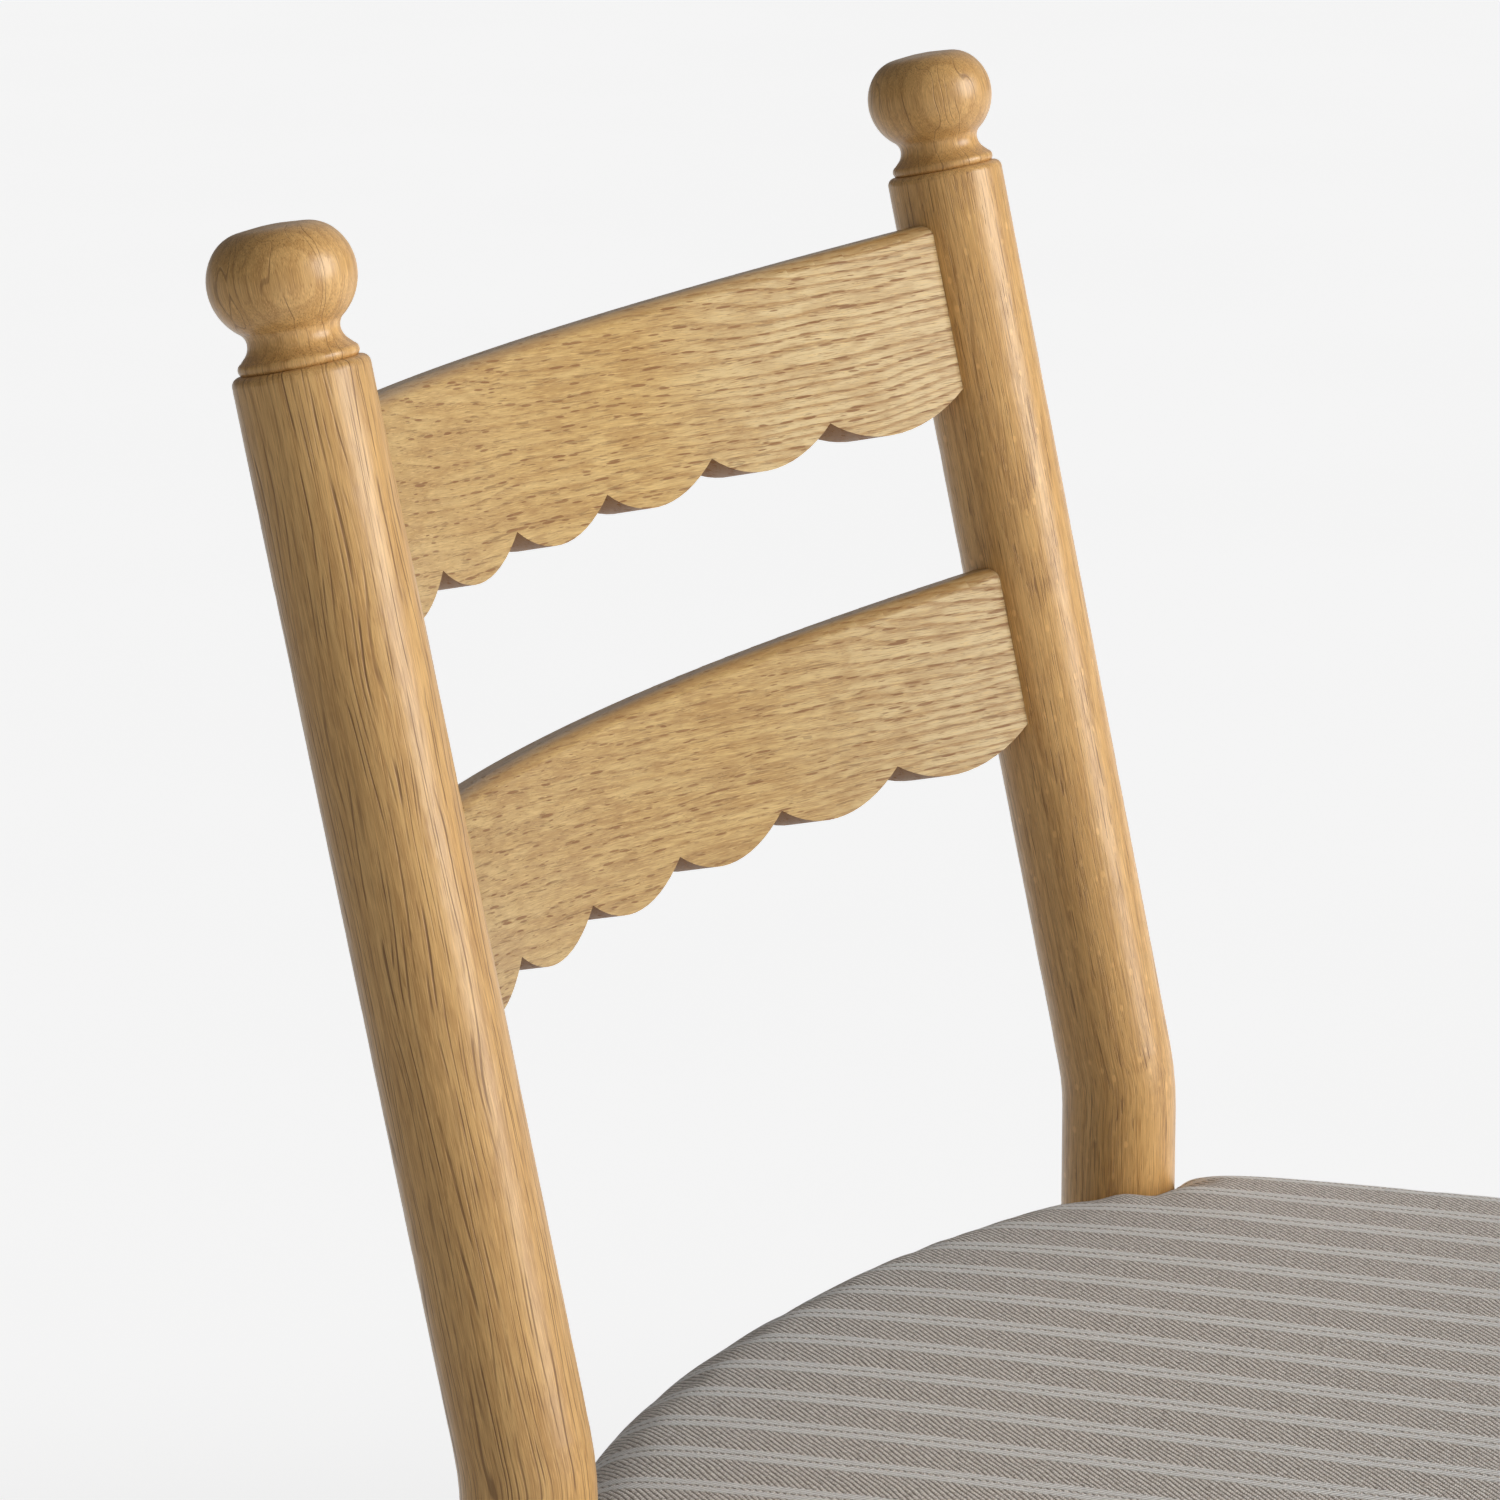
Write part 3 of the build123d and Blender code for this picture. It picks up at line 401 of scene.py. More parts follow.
for s, n, seed in ((1, "left", 7.3), (-1, "right", 8.8)):
    dress("front_leg_" + n, oak("oak_leg_" + n, frame_coords((s * FRONT_DX, FRONT_Y, 0.2), (1, 0, 0), (0, 1, 0), (0, 0, 1)),
                                pith=(-40.0 * s, 52.0), lean=(0.04, 0.03), ring=3.2, seed=seed, pore_len=80.0,
                                band=0.5, ray=0.4))
    dress("side_rail_" + n, oak("oak_side_rail_" + n, frame_coords((s * 0.227, -0.03, 0.40), (0, 0, 1), (1, 0, 0), (0, 1, 0)),
                                pith=(-8.0, 70.0 * s), lean=(0.04, 0.03), ring=3.4, seed=seed + 1.7, pore_len=70.0,
                                band=0.5, ray=0.2))
    dress("side_stretcher_" + n, oak("oak_side_stretcher_" + n, frame_coords((s * 0.227, -0.03, 0.168), (0, 0, 1), (1, 0, 0), (0, 1, 0)),
                                     pith=(40.0, 46.0), lean=(0.02, 0.0), ring=2.9, seed=seed + 3.1, pore_len=70.0,
                                     band=0.5, ray=0.3))
dress("front_rail", oak("oak_front_rail", frame_coords((0, FRONT_Y, 0.40), (0, 0, 1), (0, 1, 0), (1, 0, 0)),
                        pith=(-10.0, 66.0), lean=(0.05, 0.03), ring=3.4, seed=11.3, pore_len=70.0, band=0.5, ray=0.2))
dress("rear_rail", oak("oak_rear_rail", frame_coords((0, POST_Y + 0.03, 0.40), (0, 0, 1), (0, 1, 0), (1, 0, 0)),
                       pith=(12.0, 60.0), lean=(0.04, 0.04), ring=3.2, seed=12.9, pore_len=60.0, band=0.5, ray=0.2))
dress("front_stretcher", oak("oak_front_stretcher", frame_coords((0, FRONT_Y, 0.216), (0, 0, 1), (0, 1, 0), (1, 0, 0)),
                             pith=(44.0, 40.0), ring=2.9, seed=13.4, pore_len=70.0, band=0.5, ray=0.3))
dress("rear_stretcher", oak("oak_rear_stretcher", frame_coords((0, POST_Y, 0.216), (0, 0, 1), (0, 1, 0), (1, 0, 0)),
                            pith=(-44.0, 40.0), ring=2.9, seed=14.6, pore_len=70.0, band=0.5, ray=0.3))


# ------------------------------------------------- woods that don't show much
def raw_wood(name, coords, light, dark, ring=4.0, rough=0.62, seed=0.0):
    t = Tree(name)
    u, w, s = coords(t)
    g = t.noise(t.xyz(t.math("DIVIDE", u, 9.0), t.math("DIVIDE", w, 9.0), t.math("DIVIDE", s, 70.0)), 1.0, 3.0)
    r = t.math("ADD", t.math("DIVIDE", t.math("ADD", u, t.math("MULTIPLY", w, 0.5)), ring),
               t.math("ADD", t.math("MULTIPLY", g, 2.4), seed))
    f = t.ramp(t.math("FRACT", r), [(0.0, 0.1), (0.7, 0.45), (0.9, 1.0), (1.0, 0.1)], "EASE")
    fib = t.noise(t.xyz(t.math("DIVIDE", u, 0.5), t.math("DIVIDE", w, 0.5), t.math("DIVIDE", s, 9.0)), 1.0, 3.0, 0.6)
    col = t.mix(t.math("MULTIPLY", f, 0.6), light, dark)
    col = t.mix(t.math("MULTIPLY", t.remap(fib, 0.4, 0.8), 0.35), col, dark)
    saw = t.noise(t.xyz(t.math("DIVIDE", u, 2.0), t.math("DIVIDE", w, 2.0), t.math("DIVIDE", s, 1.1)), 1.0, 2.0)
    h = t.math("ADD", fib, t.math("MULTIPLY", saw, 0.6))
    return t.finish(col, t.math("ADD", t.math("MULTIPLY", fib, 0.2), rough - 0.1), t.bump(h, 0.0003, 0.5))


i = 0
for rear, yy in (("rear", POST_Y), ("front", FRONT_Y)):
    for s, n in ((1, "left"), (-1, "right")):
        i += 1
        dress(f"corner_block_{rear}_{n}", raw_wood(f"block_wood_{rear}_{n}", frame_coords(
            (s * 0.2, yy, 0.4), (0, 0, 1), (s, 1 if rear == "front" else -1, 0), (s, -1 if rear == "front" else 1, 0)),
            (0.66, 0.47, 0.27), (0.46, 0.27, 0.12), 5.0, 0.66, i * 1.37))
for s, n in ((1, "left"), (-1, "right")):
    dress("finial_dowel_" + n, raw_wood("dowel_wood_" + n, post_coords(s), (0.66, 0.49, 0.30), (0.48, 0.31, 0.16),
                                        2.6, 0.6, 0.4 * s))


def plywood():
    t = Tree("birch_plywood")
    x, y, z = t.split(t.pos())
    ply = t.math("FRACT", t.math("DIVIDE", t.math("SUBTRACT", z, RAIL_TOP + 0.0012), 0.0034))
    glue = t.ramp(ply, [(0.0, 0.9), (0.10, 0.0), (0.45, 0.0), (0.5, 0.85), (0.56, 0.0), (0.92, 0.0), (1.0, 0.9)])
    fib = t.noise(t.xyz(t.math("MULTIPLY", x, 1400.0), t.math("MULTIPLY", y, 70.0), t.math("MULTIPLY", z, 1400.0)), 1.0, 3.0, 0.6)
    fig = t.noise(t.xyz(t.math("MULTIPLY", x, 60.0), t.math("MULTIPLY", y, 6.0), 0.0), 1.0, 3.0, 0.6, 0.8)
    col = t.mix(t.remap(fig, 0.35, 0.65), (0.72, 0.55, 0.36), (0.60, 0.42, 0.25))
    col = t.mix(t.math("MULTIPLY", fib, 0.35), col, (0.42, 0.27, 0.14))
    nz = t.math("ABSOLUTE", t.split(t.add("ShaderNodeNewGeometry").outputs["True Normal"])[2])
    edge = t.remap(nz, 0.7, 0.3)
    col = t.mix(t.math("MULTIPLY", glue, edge), col, (0.20, 0.11, 0.05))
    return t.finish(col, 0.6, t.bump(fib, 0.0002, 0.5))


dress("seat_board", plywood())


def zinc(name, seed):
    t = Tree(name)
    p = t.pos()
    a = t.noise(p, 900.0, 3.0, 0.6)
    b, c = t.voronoi(p, 420.0)
    col = t.mix(t.remap(t.split(c)[0], 0.1, 0.9), (0.60, 0.60, 0.585), (0.72, 0.715, 0.69))
    col = t.mix(t.math("MULTIPLY", t.remap(a, 0.55, 0.8), 0.5), col, (0.36, 0.34, 0.31))
    return t.finish(col, t.math("ADD", t.math("MULTIPLY", a, 0.25), 0.22), t.bump(a, 0.00006, 0.6), Metallic=1.0)


for k, n in enumerate(("corner_block_screws", "seat_screws", "cover_staples", "glide_nails")):
    dress(n, zinc("zinc_" + n, k))


def nylon():
    t = Tree("moulded_nylon")
    p = t.pos()
    a = t.noise(p, 700.0, 4.0, 0.6)
    scuff = t.noise(p, 160.0, 3.0, 0.7, 1.5)
    col = t.mix(t.remap(a, 0.3, 0.7), (0.34, 0.25, 0.16), (0.40, 0.30, 0.20))
    col = t.mix(t.math("MULTIPLY", t.remap(scuff, 0.55, 0.75), 0.4), col, (0.52, 0.44, 0.34))
    return t.finish(col, t.math("ADD", t.math("MULTIPLY", scuff, 0.3), 0.34), t.bump(a, 0.0001, 0.5),
                    Subsurface_Weight=0.05)


dress("foot_glides", nylon())


def dust_cloth():
    t = Tree("black_nonwoven")
    x, y, z = t.split(t.pos())
    p = t.xyz(t.math("MULTIPLY", x, 1000.0), t.math("MULTIPLY", y, 1000.0), t.math("MULTIPLY", z, 1000.0))
    a = t.noise(p, 1.1, 4.0, 0.7, 2.5)
    d, _ = t.voronoi(p, 0.75, rand=0.15)
    dots = t.remap(d, 0.32, 0.20)
    col = t.mix(t.remap(a, 0.3, 0.7), (0.012, 0.012, 0.014), (0.045, 0.045, 0.048))
    h = t.math("SUBTRACT", a, t.math("MULTIPLY", dots, 0.8))
    return t.finish(col, 0.85, t.bump(h, 0.0003, 0.8), Sheen_Weight=0.25, Sheen_Roughness=0.5)


dress("dust_cover", dust_cloth())


def hang_dust_cloth():
    """The black cloth under the seat: stapled round its edge, a little slack in the middle."""
    src = nodes["dust_cover"]
    bm = bmesh.new()
    bm.from_mesh(src.data)
    bmesh.ops.delete(bm, geom=[f for f in bm.faces if f.normal.z > -0.5], context="FACES")
    bmesh.ops.delete(bm, geom=[v for v in bm.verts if not v.link_faces], context="VERTS")
    bmesh.ops.remove_doubles(bm, verts=bm.verts[:], dist=1e-5)
    area = sum(f.calc_area() for f in bm.faces)
    for _ in range(8):
        bmesh.ops.triangulate(bm, faces=[f for f in bm.faces if len(f.verts) > 3])
        long = [e for e in bm.edges if e.calc_length() > 0.010]
        if not long:
            break
        bmesh.ops.subdivide_edges(bm, edges=long, cuts=1)
    bmesh.ops.triangulate(bm, faces=[f for f in bm.faces if len(f.verts) > 3])
    rim = np.array([v.co[:2] for e in bm.edges if e.is_boundary for v in e.verts])
    for v in bm.verts:
        x, y, z = v.co
        k = min(1.0, max(0.0, (float(np.min(np.hypot(rim[:, 0] - x, rim[:, 1] - y))) - 0.004) / 0.090))
        k = k * k * (3 - 2 * k)
        wave = 0.25 * math.sin(x * 71.0 + 2.2 * math.sin(y * 23.0)) + 0.20 * math.sin(y * 58.0 + x * 17.0)
        v.co.z = z - 0.0045 * k * (1.0 + wave) + 0.0002
    mesh = bpy.data.meshes.new("dust_cloth")
    bm.to_mesh(mesh)
    bm.free()
    o = bpy.data.objects.new("dust_cloth", mesh)
    scene.collection.objects.link(o)
    sol = o.modifiers.new("thickness", "SOLIDIFY")
    sol.thickness = 0.0004
    sol.offset = 0.0
    apply_modifiers(o)
    o.data.materials.clear()
    o.data.materials.append(src.data.materials[0])
    o.data.shade_smooth()
    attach(o, "root")
    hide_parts("dust_cover")
    return o



# ------------------------------------------------------------ striped twill
STRIPE_PITCH = 28.0
STRIPE_PHASE = -1.5
STRIPE_GAP = 5.4
STRIPE_W = 4.0
TWILL = 2.3


def twill():
    t = Tree("striped_twill")
    x, y, z = t.split(t.pos())
    nx, ny, nz = t.split(t.add("ShaderNodeNewGeometry").outputs["Normal"])
    # the cloth is followed over the edges: drop below the top counts as cloth
    drop = t.math("MAXIMUM", t.math("SUBTRACT", 0.470, z), 0.0)
    nx2 = t.math("MULTIPLY", nx, nx)
    ny2 = t.math("MULTIPLY", ny, ny)
    both = t.math("ADD", t.math("ADD", nx2, ny2), 0.02)
    kx = t.remap(t.math("DIVIDE", nx2, both), 0.30, 0.75)
    ky = t.remap(t.math("DIVIDE", ny2, both), 0.30, 0.75)
    a = t.math("ADD", x, t.math("MULTIPLY", t.math("SIGN", x), t.math("MULTIPLY", drop, kx)))
    b = t.math("ADD", y, t.math("MULTIPLY", t.math("SIGN", y), t.math("MULTIPLY", drop, ky)))
    a = t.math("MULTIPLY", a, 1000.0)
    b = t.math("MULTIPLY", b, 1000.0)
    zz = t.math("MULTIPLY", z, 1000.0)
    # yarns aren't quite straight
    wa = t.noise(t.xyz(t.math("MULTIPLY", a, 0.09), t.math("MULTIPLY", b, 0.035), 0.0), 1.0, 2.0, 0.55)
    wb = t.noise(t.xyz(t.math("MULTIPLY", a, 0.05), t.math("MULTIPLY", b, 0.08), 7.0), 1.0, 2.0, 0.6)
    aa = t.math("ADD", a, t.math("MULTIPLY", t.math("SUBTRACT", wa, 0.5), 1.8))
    bb = t.math("ADD", b, t.math("MULTIPLY", t.math("SUBTRACT", wb, 0.5), 1.6))
    # stripe pairs, with hairy edges
    cell = t.math("SUBTRACT", aa, STRIPE_PHASE)
    cell = t.math("SUBTRACT", t.math("MULTIPLY", t.math("FRACT", t.math("ADD", t.math("DIVIDE", cell, STRIPE_PITCH), 0.5)),
                                     STRIPE_PITCH), STRIPE_PITCH / 2)
    off = t.math("ABSOLUTE", t.math("SUBTRACT", t.math("ABSOLUTE", cell), STRIPE_GAP / 2))
    fuzz = t.noise(t.xyz(t.math("MULTIPLY", a, 1.3), t.math("MULTIPLY", b, 0.9), zz), 1.0, 2.0, 0.6)
    off_f = t.math("ADD", off, t.math("MULTIPLY", t.math("SUBTRACT", fuzz, 0.5), 1.5))
    # a stripe is a slanted chain of floats
    seg = t.math("FRACT", t.math("ADD", t.math("DIVIDE", bb, 2.1), t.math("DIVIDE", aa, 2.6)))
    seg_h = t.math("SINE", t.math("MULTIPLY", seg, math.pi))
    stripe = t.remap(off_f, STRIPE_W / 2 + 0.55, STRIPE_W / 2 - 0.65)
    # twill: diagonal ribs, each made of short floats
    diag = t.math("FRACT", t.math("DIVIDE", t.math("SUBTRACT", aa, t.math("MULTIPLY", bb, 1.0)), TWILL))
    rib = t.math("SINE", t.math("MULTIPLY", diag, math.pi))
    yarn_b = t.math("ABSOLUTE", t.math("SINE", t.math("MULTIPLY", bb, math.pi / 0.95)))
    weave = t.math("MULTIPLY", rib, t.math("ADD", t.math("MULTIPLY", yarn_b, 0.45), 0.55))
    # melange: every yarn has its own shade, light and dark hairs mixed
    mel = t.noise(t.xyz(t.math("MULTIPLY", aa, 1.9), t.math("MULTIPLY", bb, 0.40), 3.0), 1.0, 2.0, 0.7)
    mel2 = t.noise(t.xyz(t.math("MULTIPLY", aa, 0.35), t.math("MULTIPLY", bb, 1.9), 9.0), 1.0, 2.0, 0.7)
    speck = t.noise(t.xyz(t.math("MULTIPLY", a, 1.15), t.math("MULTIPLY", b, 1.15), zz), 1.0, 2.0, 0.75)
    dark = t.noise(t.xyz(t.math("MULTIPLY", a, 1.0), t.math("MULTIPLY", b, 0.8), t.math("ADD", zz, 31.0)), 1.0, 2.0, 0.75)
    tone = t.math("ADD", t.math("MULTIPLY", mel, 0.5), t.math("MULTIPLY", mel2, 0.5))
    ground = t.mix(t.remap(tone, 0.40, 0.60), (0.620, 0.548, 0.485), (1.000, 0.935, 0.870))
    ground = t.mix(t.math("MULTIPLY", t.remap(weave, 0.62, 0.08), 0.92), ground, (0.240, 0.192, 0.156))
    ground = t.mix(t.math("MULTIPLY", t.remap(speck, 0.54, 0.66), 0.75), ground, (0.980, 0.940, 0.890))
    ground = t.mix(t.math("MULTIPLY", t.remap(dark, 0.55, 0.68), 0.75), ground, (0.150, 0.112, 0.086))
    white = t.mix(t.math("MULTIPLY", t.remap(seg_h, 0.60, 0.08), 0.80), (0.990, 0.975, 0.945), (0.560, 0.505, 0.450))
    white = t.mix(t.math("MULTIPLY", t.remap(speck, 0.5, 0.70), 0.45), white, (1.0, 0.99, 0.97))
    white = t.mix(t.math("MULTIPLY", t.remap(dark, 0.58, 0.76), 0.45), white, (0.34, 0.29, 0.25))
    col = t.mix(stripe, ground, white)
    h_ground = t.math("ADD", t.math("MULTIPLY", weave, 0.75), t.math("MULTIPLY", tone, 0.4))
    h_white = t.math("ADD", t.math("MULTIPLY", seg_h, 0.85), 0.75)
    hm = t.add("ShaderNodeMix", data_type="FLOAT")
    t.put(hm.inputs[0], stripe)
    t.put(hm.inputs[2], h_ground)
    t.put(hm.inputs[3], h_white)
    h = t.math("ADD", hm.outputs[0], t.math("MULTIPLY", speck, 0.5))
    return t.finish(col, 0.90, t.bump(h, 0.00040, 0.9), Sheen_Weight=0.15, Sheen_Roughness=0.5,
                    Specular_IOR_Level=0.15)


# ------------------------------------------------------------- seat cushion
SEAT_Z0 = RAIL_TOP + 0.0002      # underside of the folded cover
REAR_Y = POST_Y + 0.056
EDGE_TOP = 0.4769                # height of the top at the rear edge
RISE = math.tan(math.radians(1.15))
NOTCH_R = POST_R + 0.0004        # the cover hugs the posts


def arc3(p0, p1, p2, n):
    """Points on the circle through three points, from p0 to p2."""
    (x1, y1), (x2, y2), (x3, y3) = p0, p1, p2
    d = 2 * (x1 * (y2 - y3) + x2 * (y3 - y1) + x3 * (y1 - y2))
    cx = ((x1**2 + y1**2) * (y2 - y3) + (x2**2 + y2**2) * (y3 - y1) + (x3**2 + y3**2) * (y1 - y2)) / d
    cy = ((x1**2 + y1**2) * (x3 - x2) + (x2**2 + y2**2) * (x1 - x3) + (x3**2 + y3**2) * (x2 - x1)) / d
    r = math.hypot(x1 - cx, y1 - cy)
    a0, a1, a2 = (math.atan2(y - cy, x - cx) for x, y in (p0, p1, p2))
    two = 2 * math.pi
    fwd = (a2 - a0) % two
    if (a1 - a0) % two > fwd:
        fwd -= two
    return [(cx + r * math.cos(a0 + fwd * k / n), cy + r * math.sin(a0 + fwd * k / n)) for k in range(n)]


def seat_polygon():
    side_rear = (HALF + 0.020, POST_Y - 0.016)
    side_mid = (0.2525, POST_Y - 0.125)
    side_front = (0.262, FRONT_Y + 0.002)
    corner = (0.251, FRONT_Y - 0.026)
    front_end = (0.225, FRONT_Y - 0.037)
    front_mid = (0.0, FRONT_Y - 0.046)
    def mx(p):
        return (-p[0], p[1])
    pts = arc3(mx(front_end), front_mid, front_end, 90)
    pts += arc3(front_end, corner, side_front, 24)
    pts += arc3(side_front, side_mid, side_rear, 80)
    n = 10
    pts += [(side_rear[0] + (HALF - side_rear[0]) * k / n, side_rear[1] + (POST_Y - side_rear[1]) * k / n) for k in range(n)]
    pts += arc3((HALF, POST_Y), (0, REAR_Y), (-HALF, POST_Y), 110)
    pts += [(-HALF + (-side_rear[0] + HALF) * k / n, POST_Y + (side_rear[1] - POST_Y) * k / n) for k in range(n)]
    pts += arc3(mx(side_rear), mx(side_mid), mx(side_front), 80)
    pts += arc3(mx(side_front), mx(corner), mx(front_end), 24)
    return np.array(pts)


def polygon_distance(pts, poly):
    """Signed distance to a closed polygon, positive inside."""
    a = poly
    b = np.roll(poly, -1, axis=0)
    best = np.full(len(pts), 1e9)
    inside = np.zeros(len(pts), bool)
    px, py = pts[:, 0], pts[:, 1]
    for (ax, ay), (bx, by) in zip(a, b):
        ex, ey = bx - ax, by - ay
        L = ex * ex + ey * ey
        if L < 1e-16:
            continue
        k = np.clip(((px - ax) * ex + (py - ay) * ey) / L, 0, 1)
        best = np.minimum(best, (px - ax - k * ex) ** 2 + (py - ay - k * ey) ** 2)
        if ay != by:
            cross = ((ay > py) != (by > py)) & (px < (bx - ax) * (py - ay) / (by - ay) + ax)
            inside ^= cross
    d = np.sqrt(best)
    return np.where(inside, d, -d)


class Plan:
    """Plan of the seat as a grid of distances to its outline, the cut-outs for the posts left aside."""

    def __init__(self, inset=0.0, step=0.002):
        self.step = step
        self.x0, self.y0 = -0.290, -0.285
        self.nx = int(round(0.580 / step)) + 1
        self.ny = int(round(0.520 / step)) + 1
        gx, gy = np.meshgrid(self.x0 + np.arange(self.nx) * step, self.y0 + np.arange(self.ny) * step)
        p = np.stack([gx.ravel(), gy.ravel()], 1)
        self.g = polygon_distance(p, seat_polygon()).reshape(self.ny, self.nx) - inset

    def __call__(self, x, y):
        fx = np.clip((x - self.x0) / self.step, 0, self.nx - 1.001)
        fy = np.clip((y - self.y0) / self.step, 0, self.ny - 1.001)
        i, j = fx.astype(int), fy.astype(int)
        a, b = fx - i, fy - j
        g = self.g
        return (g[j, i] * (1 - a) * (1 - b) + g[j, i + 1] * a * (1 - b) + g[j + 1, i] * (1 - a) * b + g[j + 1, i + 1] * a * b)


def seat_top(x, y, d, inset):
    """Height of the crowned top where the plan distance from the edge is d."""
    z = EDGE_TOP - inset + (REAR_Y - y) * RISE
    z = z + 0.0065 * (1 - np.exp(-np.maximum(d, 0) / 0.045))
    for s in (-1, 1):
        r = np.hypot(x - s * HALF, y - POST_Y) - POST_R
        z = z - 0.0010 * np.exp(-np.maximum(r, 0) / 0.010)
        # small gathers fan out from each cut-out
        th = np.arctan2(y - POST_Y, (x - s * HALF) * s)
        z = z + 0.0007 * np.sin(th * 9.0 + 1.2) * np.exp(-np.maximum(r - 0.004, 0) / 0.016)
    return z


def round_and(a, b, r):
    """Inside both a and b, the edge between them rounded to r."""
    a, b = a + r, b + r
    return np.hypot(np.maximum(a, 0), np.maximum(b, 0)) - r + np.minimum(np.maximum(a, b), 0)


def seat_field(p, plan, inset, top_r=0.015, low_r=0.003):
    """Negative inside the padded seat, zero on its skin."""
    x, y, z = p[:, 0], p[:, 1], p[:, 2]
    d = plan(x, y)
    above = z - seat_top(x, y, d, inset)
    # the sides belly out a little between the edge and the board
    belly = 0.0008 * np.sin(np.clip((z - SEAT_Z0) / 0.050, 0, 1) * math.pi)
    f = round_and(-d - 0.0008 + belly, above, top_r)
    for s in (-1, 1):
        post = (NOTCH_R + inset) - np.hypot(x - s * HALF, y - POST_Y)
        f = np.maximum(f, round_and(post, above, 0.0035))
    return np.maximum(f, round_and(-d - 0.0008 + belly, (SEAT_Z0 + inset) - z, low_r))


def field_normal(p, plan, inset, f0, h=0.0006):
    g = np.empty_like(p)
    for k in range(3):
        q = p.copy()
        q[:, k] += h
        g[:, k] = (seat_field(q, plan, inset) - f0) / h
    n = np.linalg.norm(g, axis=1, keepdims=True)
    return g / np.maximum(n, 1e-6), n[:, 0]


def padded_solid(name, plan, inset, voxel):
    """A closed pad: a rough block in plan, remeshed, then drawn onto the seat's skin."""
    pts = seat_polygon()
    keep = np.ones(len(pts), bool)
    for s in (-1, 1):
        keep &= ~(np.linalg.norm(pts - np.array([s * HALF, POST_Y]), axis=1) < NOTCH_R)
    pts = pts[keep]
    # close each gap along the post
    out = []
    n = len(pts)
    for k in range(n):
        a, b = pts[k], pts[(k + 1) % n]
        out.append(a)
        for s in (-1, 1):
            c = np.array([s * HALF, POST_Y])
            if np.linalg.norm(a - c) < 0.030 and np.linalg.norm(b - c) < 0.030 and np.linalg.norm(a - b) > 0.012:
                t0 = math.atan2(*(a - c)[::-1])
                t1 = math.atan2(*(b - c)[::-1])
                sweep = (t1 - t0 + math.pi) % (2 * math.pi) - math.pi
                # go round the side of the post that faces the middle of the seat
                mid = t0 + sweep / 2
                if math.cos(mid) * (-s) < 0:
                    sweep -= math.copysign(2 * math.pi, sweep)
                for m in range(1, 16):
                    th = t0 + sweep * m / 16
                    out.append(c + NOTCH_R * np.array([math.cos(th), math.sin(th)]))
    pts = np.array(out)
    mesh = bpy.data.meshes.new(name)
    bm = bmesh.new()
    lo = [bm.verts.new((x, y, SEAT_Z0)) for x, y in pts]
    hi = [bm.verts.new((x, y, EDGE_TOP + (REAR_Y - y) * RISE)) for x, y in pts]
    n = len(pts)
    bm.faces.new(list(reversed(lo)))
    bm.faces.new(hi)
    for k in range(n):
        bm.faces.new((lo[k], lo[(k + 1) % n], hi[(k + 1) % n], hi[k]))
    bmesh.ops.recalc_face_normals(bm, faces=bm.faces[:])
    bmesh.ops.triangulate(bm, faces=bm.faces[:])
    bm.to_mesh(mesh)
    bm.free()
    o = bpy.data.objects.new(name, mesh)
    scene.collection.objects.link(o)
    rm = o.modifiers.new("remesh", "REMESH")
    rm.mode = "VOXEL"
    rm.voxel_size = voxel
    apply_modifiers(o)
    p = read_points(o)
    for _ in range(8):
        f = seat_field(p, plan, inset)
        g, n = field_normal(p, plan, inset, f)
        p = p - g * (np.clip(f, -0.005, 0.005) / np.maximum(n, 0.5))[:, None] * 0.9
    write_points(o, p)
    return o


def read_points(o):
    a = np.empty(len(o.data.vertices) * 3)
    o.data.vertices.foreach_get("co", a)
    return a.reshape(-1, 3)


def write_points(o, p):
    o.data.vertices.foreach_set("co", np.ascontiguousarray(p).ravel())
    o.data.update()


def apply_modifiers(o):
    dg = bpy.context.evaluated_depsgraph_get()
    dg.update()
    new = bpy.data.meshes.new_from_object(o.evaluated_get(dg), depsgraph=dg)
    o.modifiers.clear()
    old = o.data
    o.data = new
    bpy.data.meshes.remove(old)


def puff(o, pressure=4.0, cap=0.003, frames=14):
    """Cloth with air inside it, its lower edge held, then applied."""
    rest = read_points(o)
    pin = o.vertex_groups.new(name="pin")
    held = [int(k) for k in np.flatnonzero(rest[:, 2] < SEAT_Z0 + 0.012)]
    pin.add(held, 1.0, "REPLACE")
    cl = o.modifiers.new("cloth", "CLOTH")
    st = cl.settings
    st.quality = 3
    st.mass = 0.3
    st.tension_stiffness = 25
    st.compression_stiffness = 25
    st.shear_stiffness = 8
    st.bending_stiffness = 1.0
    st.use_pressure = True
    st.uniform_pressure_force = pressure
    st.vertex_group_mass = "pin"
    st.effector_weights.gravity = 0.0
    cl.collision_settings.use_collision = False
    cl.collision_settings.use_self_collision = False
    cl.point_cache.frame_start = 1
    cl.point_cache.frame_end = frames
    for f in range(1, frames + 1):
        scene.frame_set(f)
    apply_modifiers(o)
    now = read_points(o)
    move = now - rest
    far = np.linalg.norm(move, axis=1, keepdims=True)
    move *= np.minimum(1.0, cap / np.maximum(far, 1e-9))
    write_points(o, rest + move)
    o.vertex_groups.clear()
    scene.frame_set(1)


def clear_posts(o, gap):
    p = read_points(o)
    for s in (-1, 1):
        c = np.array([s * HALF, POST_Y])
        v = p[:, :2] - c
        r = np.linalg.norm(v, axis=1, keepdims=True)
        want = POST_R + gap
        close = r[:, 0] < want
        p[close, :2] = c + v[close] / r[close] * want
    write_points(o, p)


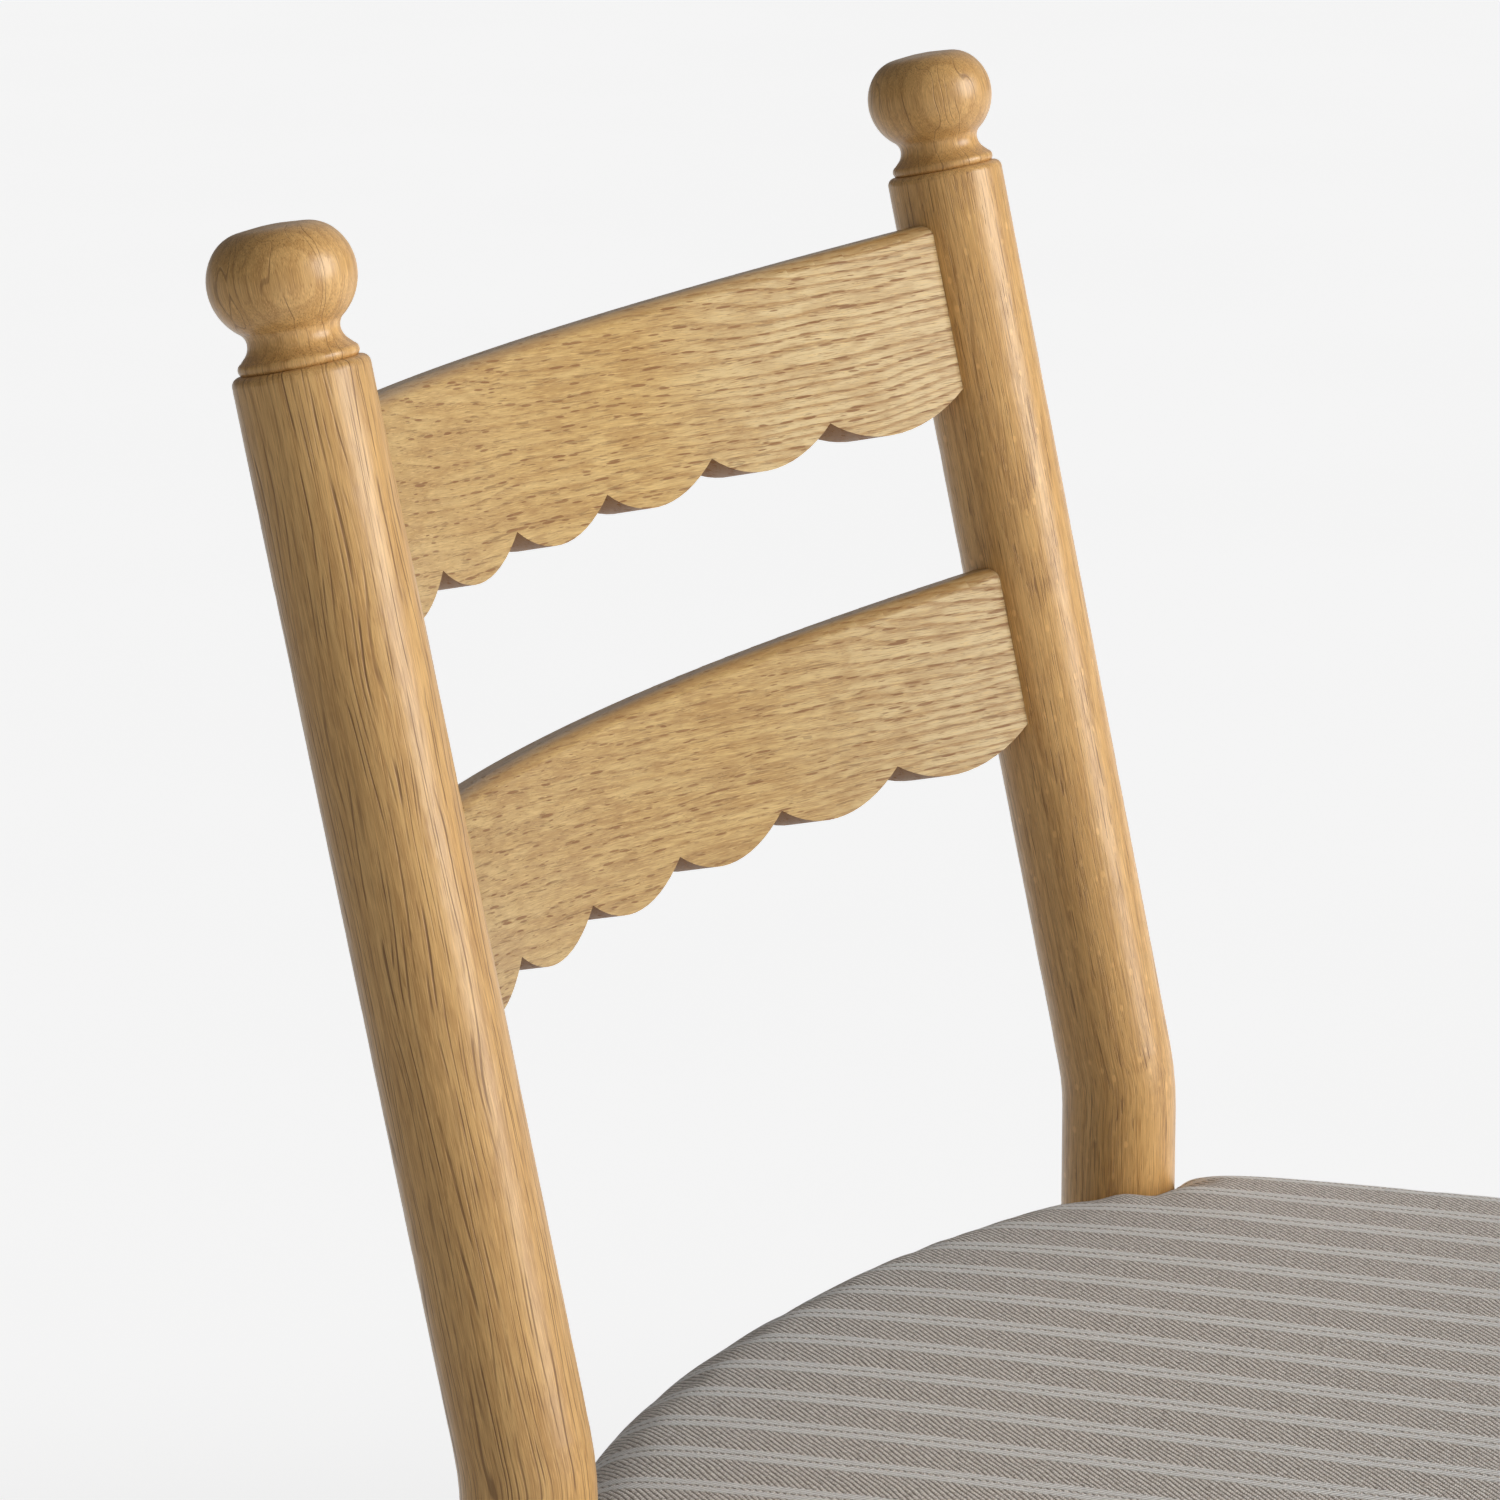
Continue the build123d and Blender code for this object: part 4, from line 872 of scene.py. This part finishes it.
plan = Plan()
cushion = padded_solid("seat_cushion", plan, 0.0, 0.0050)
puff(cushion)
sub = cushion.modifiers.new("subdivision", "SUBSURF")
sub.levels = 1
sub.render_levels = 1
apply_modifiers(cushion)
clear_posts(cushion, 0.0004)
cushion.data.materials.clear()
cushion.data.materials.append(twill())
cushion.data.shade_smooth()
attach(cushion, "root")
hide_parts("seat_cover")


hang_dust_cloth()


# the foam, a little inside the cover and above the board
def foam_material():
    t = Tree("cushion_foam")
    p = t.pos()
    d, _ = t.voronoi(p, 900.0)
    a = t.noise(p, 1500.0, 3.0, 0.6)
    col = t.mix(t.remap(d, 0.1, 0.6), (0.52, 0.45, 0.30), (0.80, 0.73, 0.56))
    return t.finish(col, 0.9, t.bump(t.math("ADD", d, a), 0.0004, 0.7))


dress("seat_foam", foam_material())
foam_src = nodes["seat_foam"]
foam = padded_solid("seat_foam_pad", Plan(inset=0.005), 0.006, 0.008)
fp = read_points(foam)
fp[:, 2] = np.maximum(fp[:, 2], RAIL_TOP + 0.0012 + 0.012 + 0.0003)
write_points(foam, fp)
foam.data.materials.append(foam_src.data.materials[0])
foam.data.shade_smooth()
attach(foam, "root")
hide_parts("seat_foam")

# --------------------------------------------------------------- the stage
bpy.ops.mesh.primitive_plane_add(size=60.0, location=(0, 0, 0))
floor = bpy.context.object
floor.name = "studio_floor"
tf = Tree("studio_floor")
fp_ = tf.pos()
fn = tf.noise(fp_, 2.0, 2.0, 0.5)
# painted light: the floor glows, weaker near the chair and stronger further out
glow = tf.remap(tf.vmath("LENGTH", fp_), 0.3, 1.7, 0.22, 0.52)
# painted shade: the floor's glow fades out on one side, as if the studio were dark there
away = tf.dot(fp_, (0.910, 0.415, 0.0), 1.8374)
aside = tf.dot(fp_, (0.415, -0.910, 0.0), 0.1637)
turn = tf.math("ARCTAN2", aside, away)
glow = tf.math("MULTIPLY", glow, tf.remap(turn, -0.60, -0.16, 0.06, 1.0))
tf.finish(tf.mix(tf.remap(fn, 0.3, 0.7), (0.80, 0.80, 0.80), (0.81, 0.81, 0.81)), 0.95, Specular_IOR_Level=0.0)
tf.bsdf.inputs["Emission Color"].default_value = (1, 1, 1, 1)
tf.put(tf.bsdf.inputs["Emission Strength"], glow)
floor.data.materials.append(tf.mat)

world = bpy.data.worlds.new("studio")
scene.world = world
world.use_nodes = True
world.node_tree.nodes["Background"].inputs[0].default_value = (1.0, 1.0, 1.0, 1)
world.node_tree.nodes["Background"].inputs[1].default_value = 0.14


def sun(name, direction, strength, angle, color=(1, 1, 1)):
    data = bpy.data.lights.new(name, "SUN")
    data.energy = strength
    data.angle = math.radians(angle)
    data.color = color
    o = bpy.data.objects.new(name, data)
    o.rotation_euler = Vector(direction).to_track_quat("Z", "Y").to_euler()
    scene.collection.objects.link(o)
    return o


sun("key", (0.18, -0.98, 0.335), 2.65, 38)
sun("front", (-0.70, -0.60, 0.40), 0.28, 90)
sun("back", (0.85, 0.10, 0.45), 0.25, 60)

cam_data = bpy.data.cameras.new("camera")
cam = bpy.data.objects.new("camera", cam_data)
scene.collection.objects.link(cam)
cam.location = (-1.73941, -0.75888 + POST_Y, 0.58187 + BEND_Z)
cam.rotation_euler = (math.radians(90 - 12.585), 0.0, math.radians(-65.478))
cam_data.sensor_width = 36.0
cam_data.lens = 156.0
cam_data.clip_end = 200.0
scene.camera = cam
scene.view_settings.view_transform = "Standard"
scene.view_settings.look = "None"
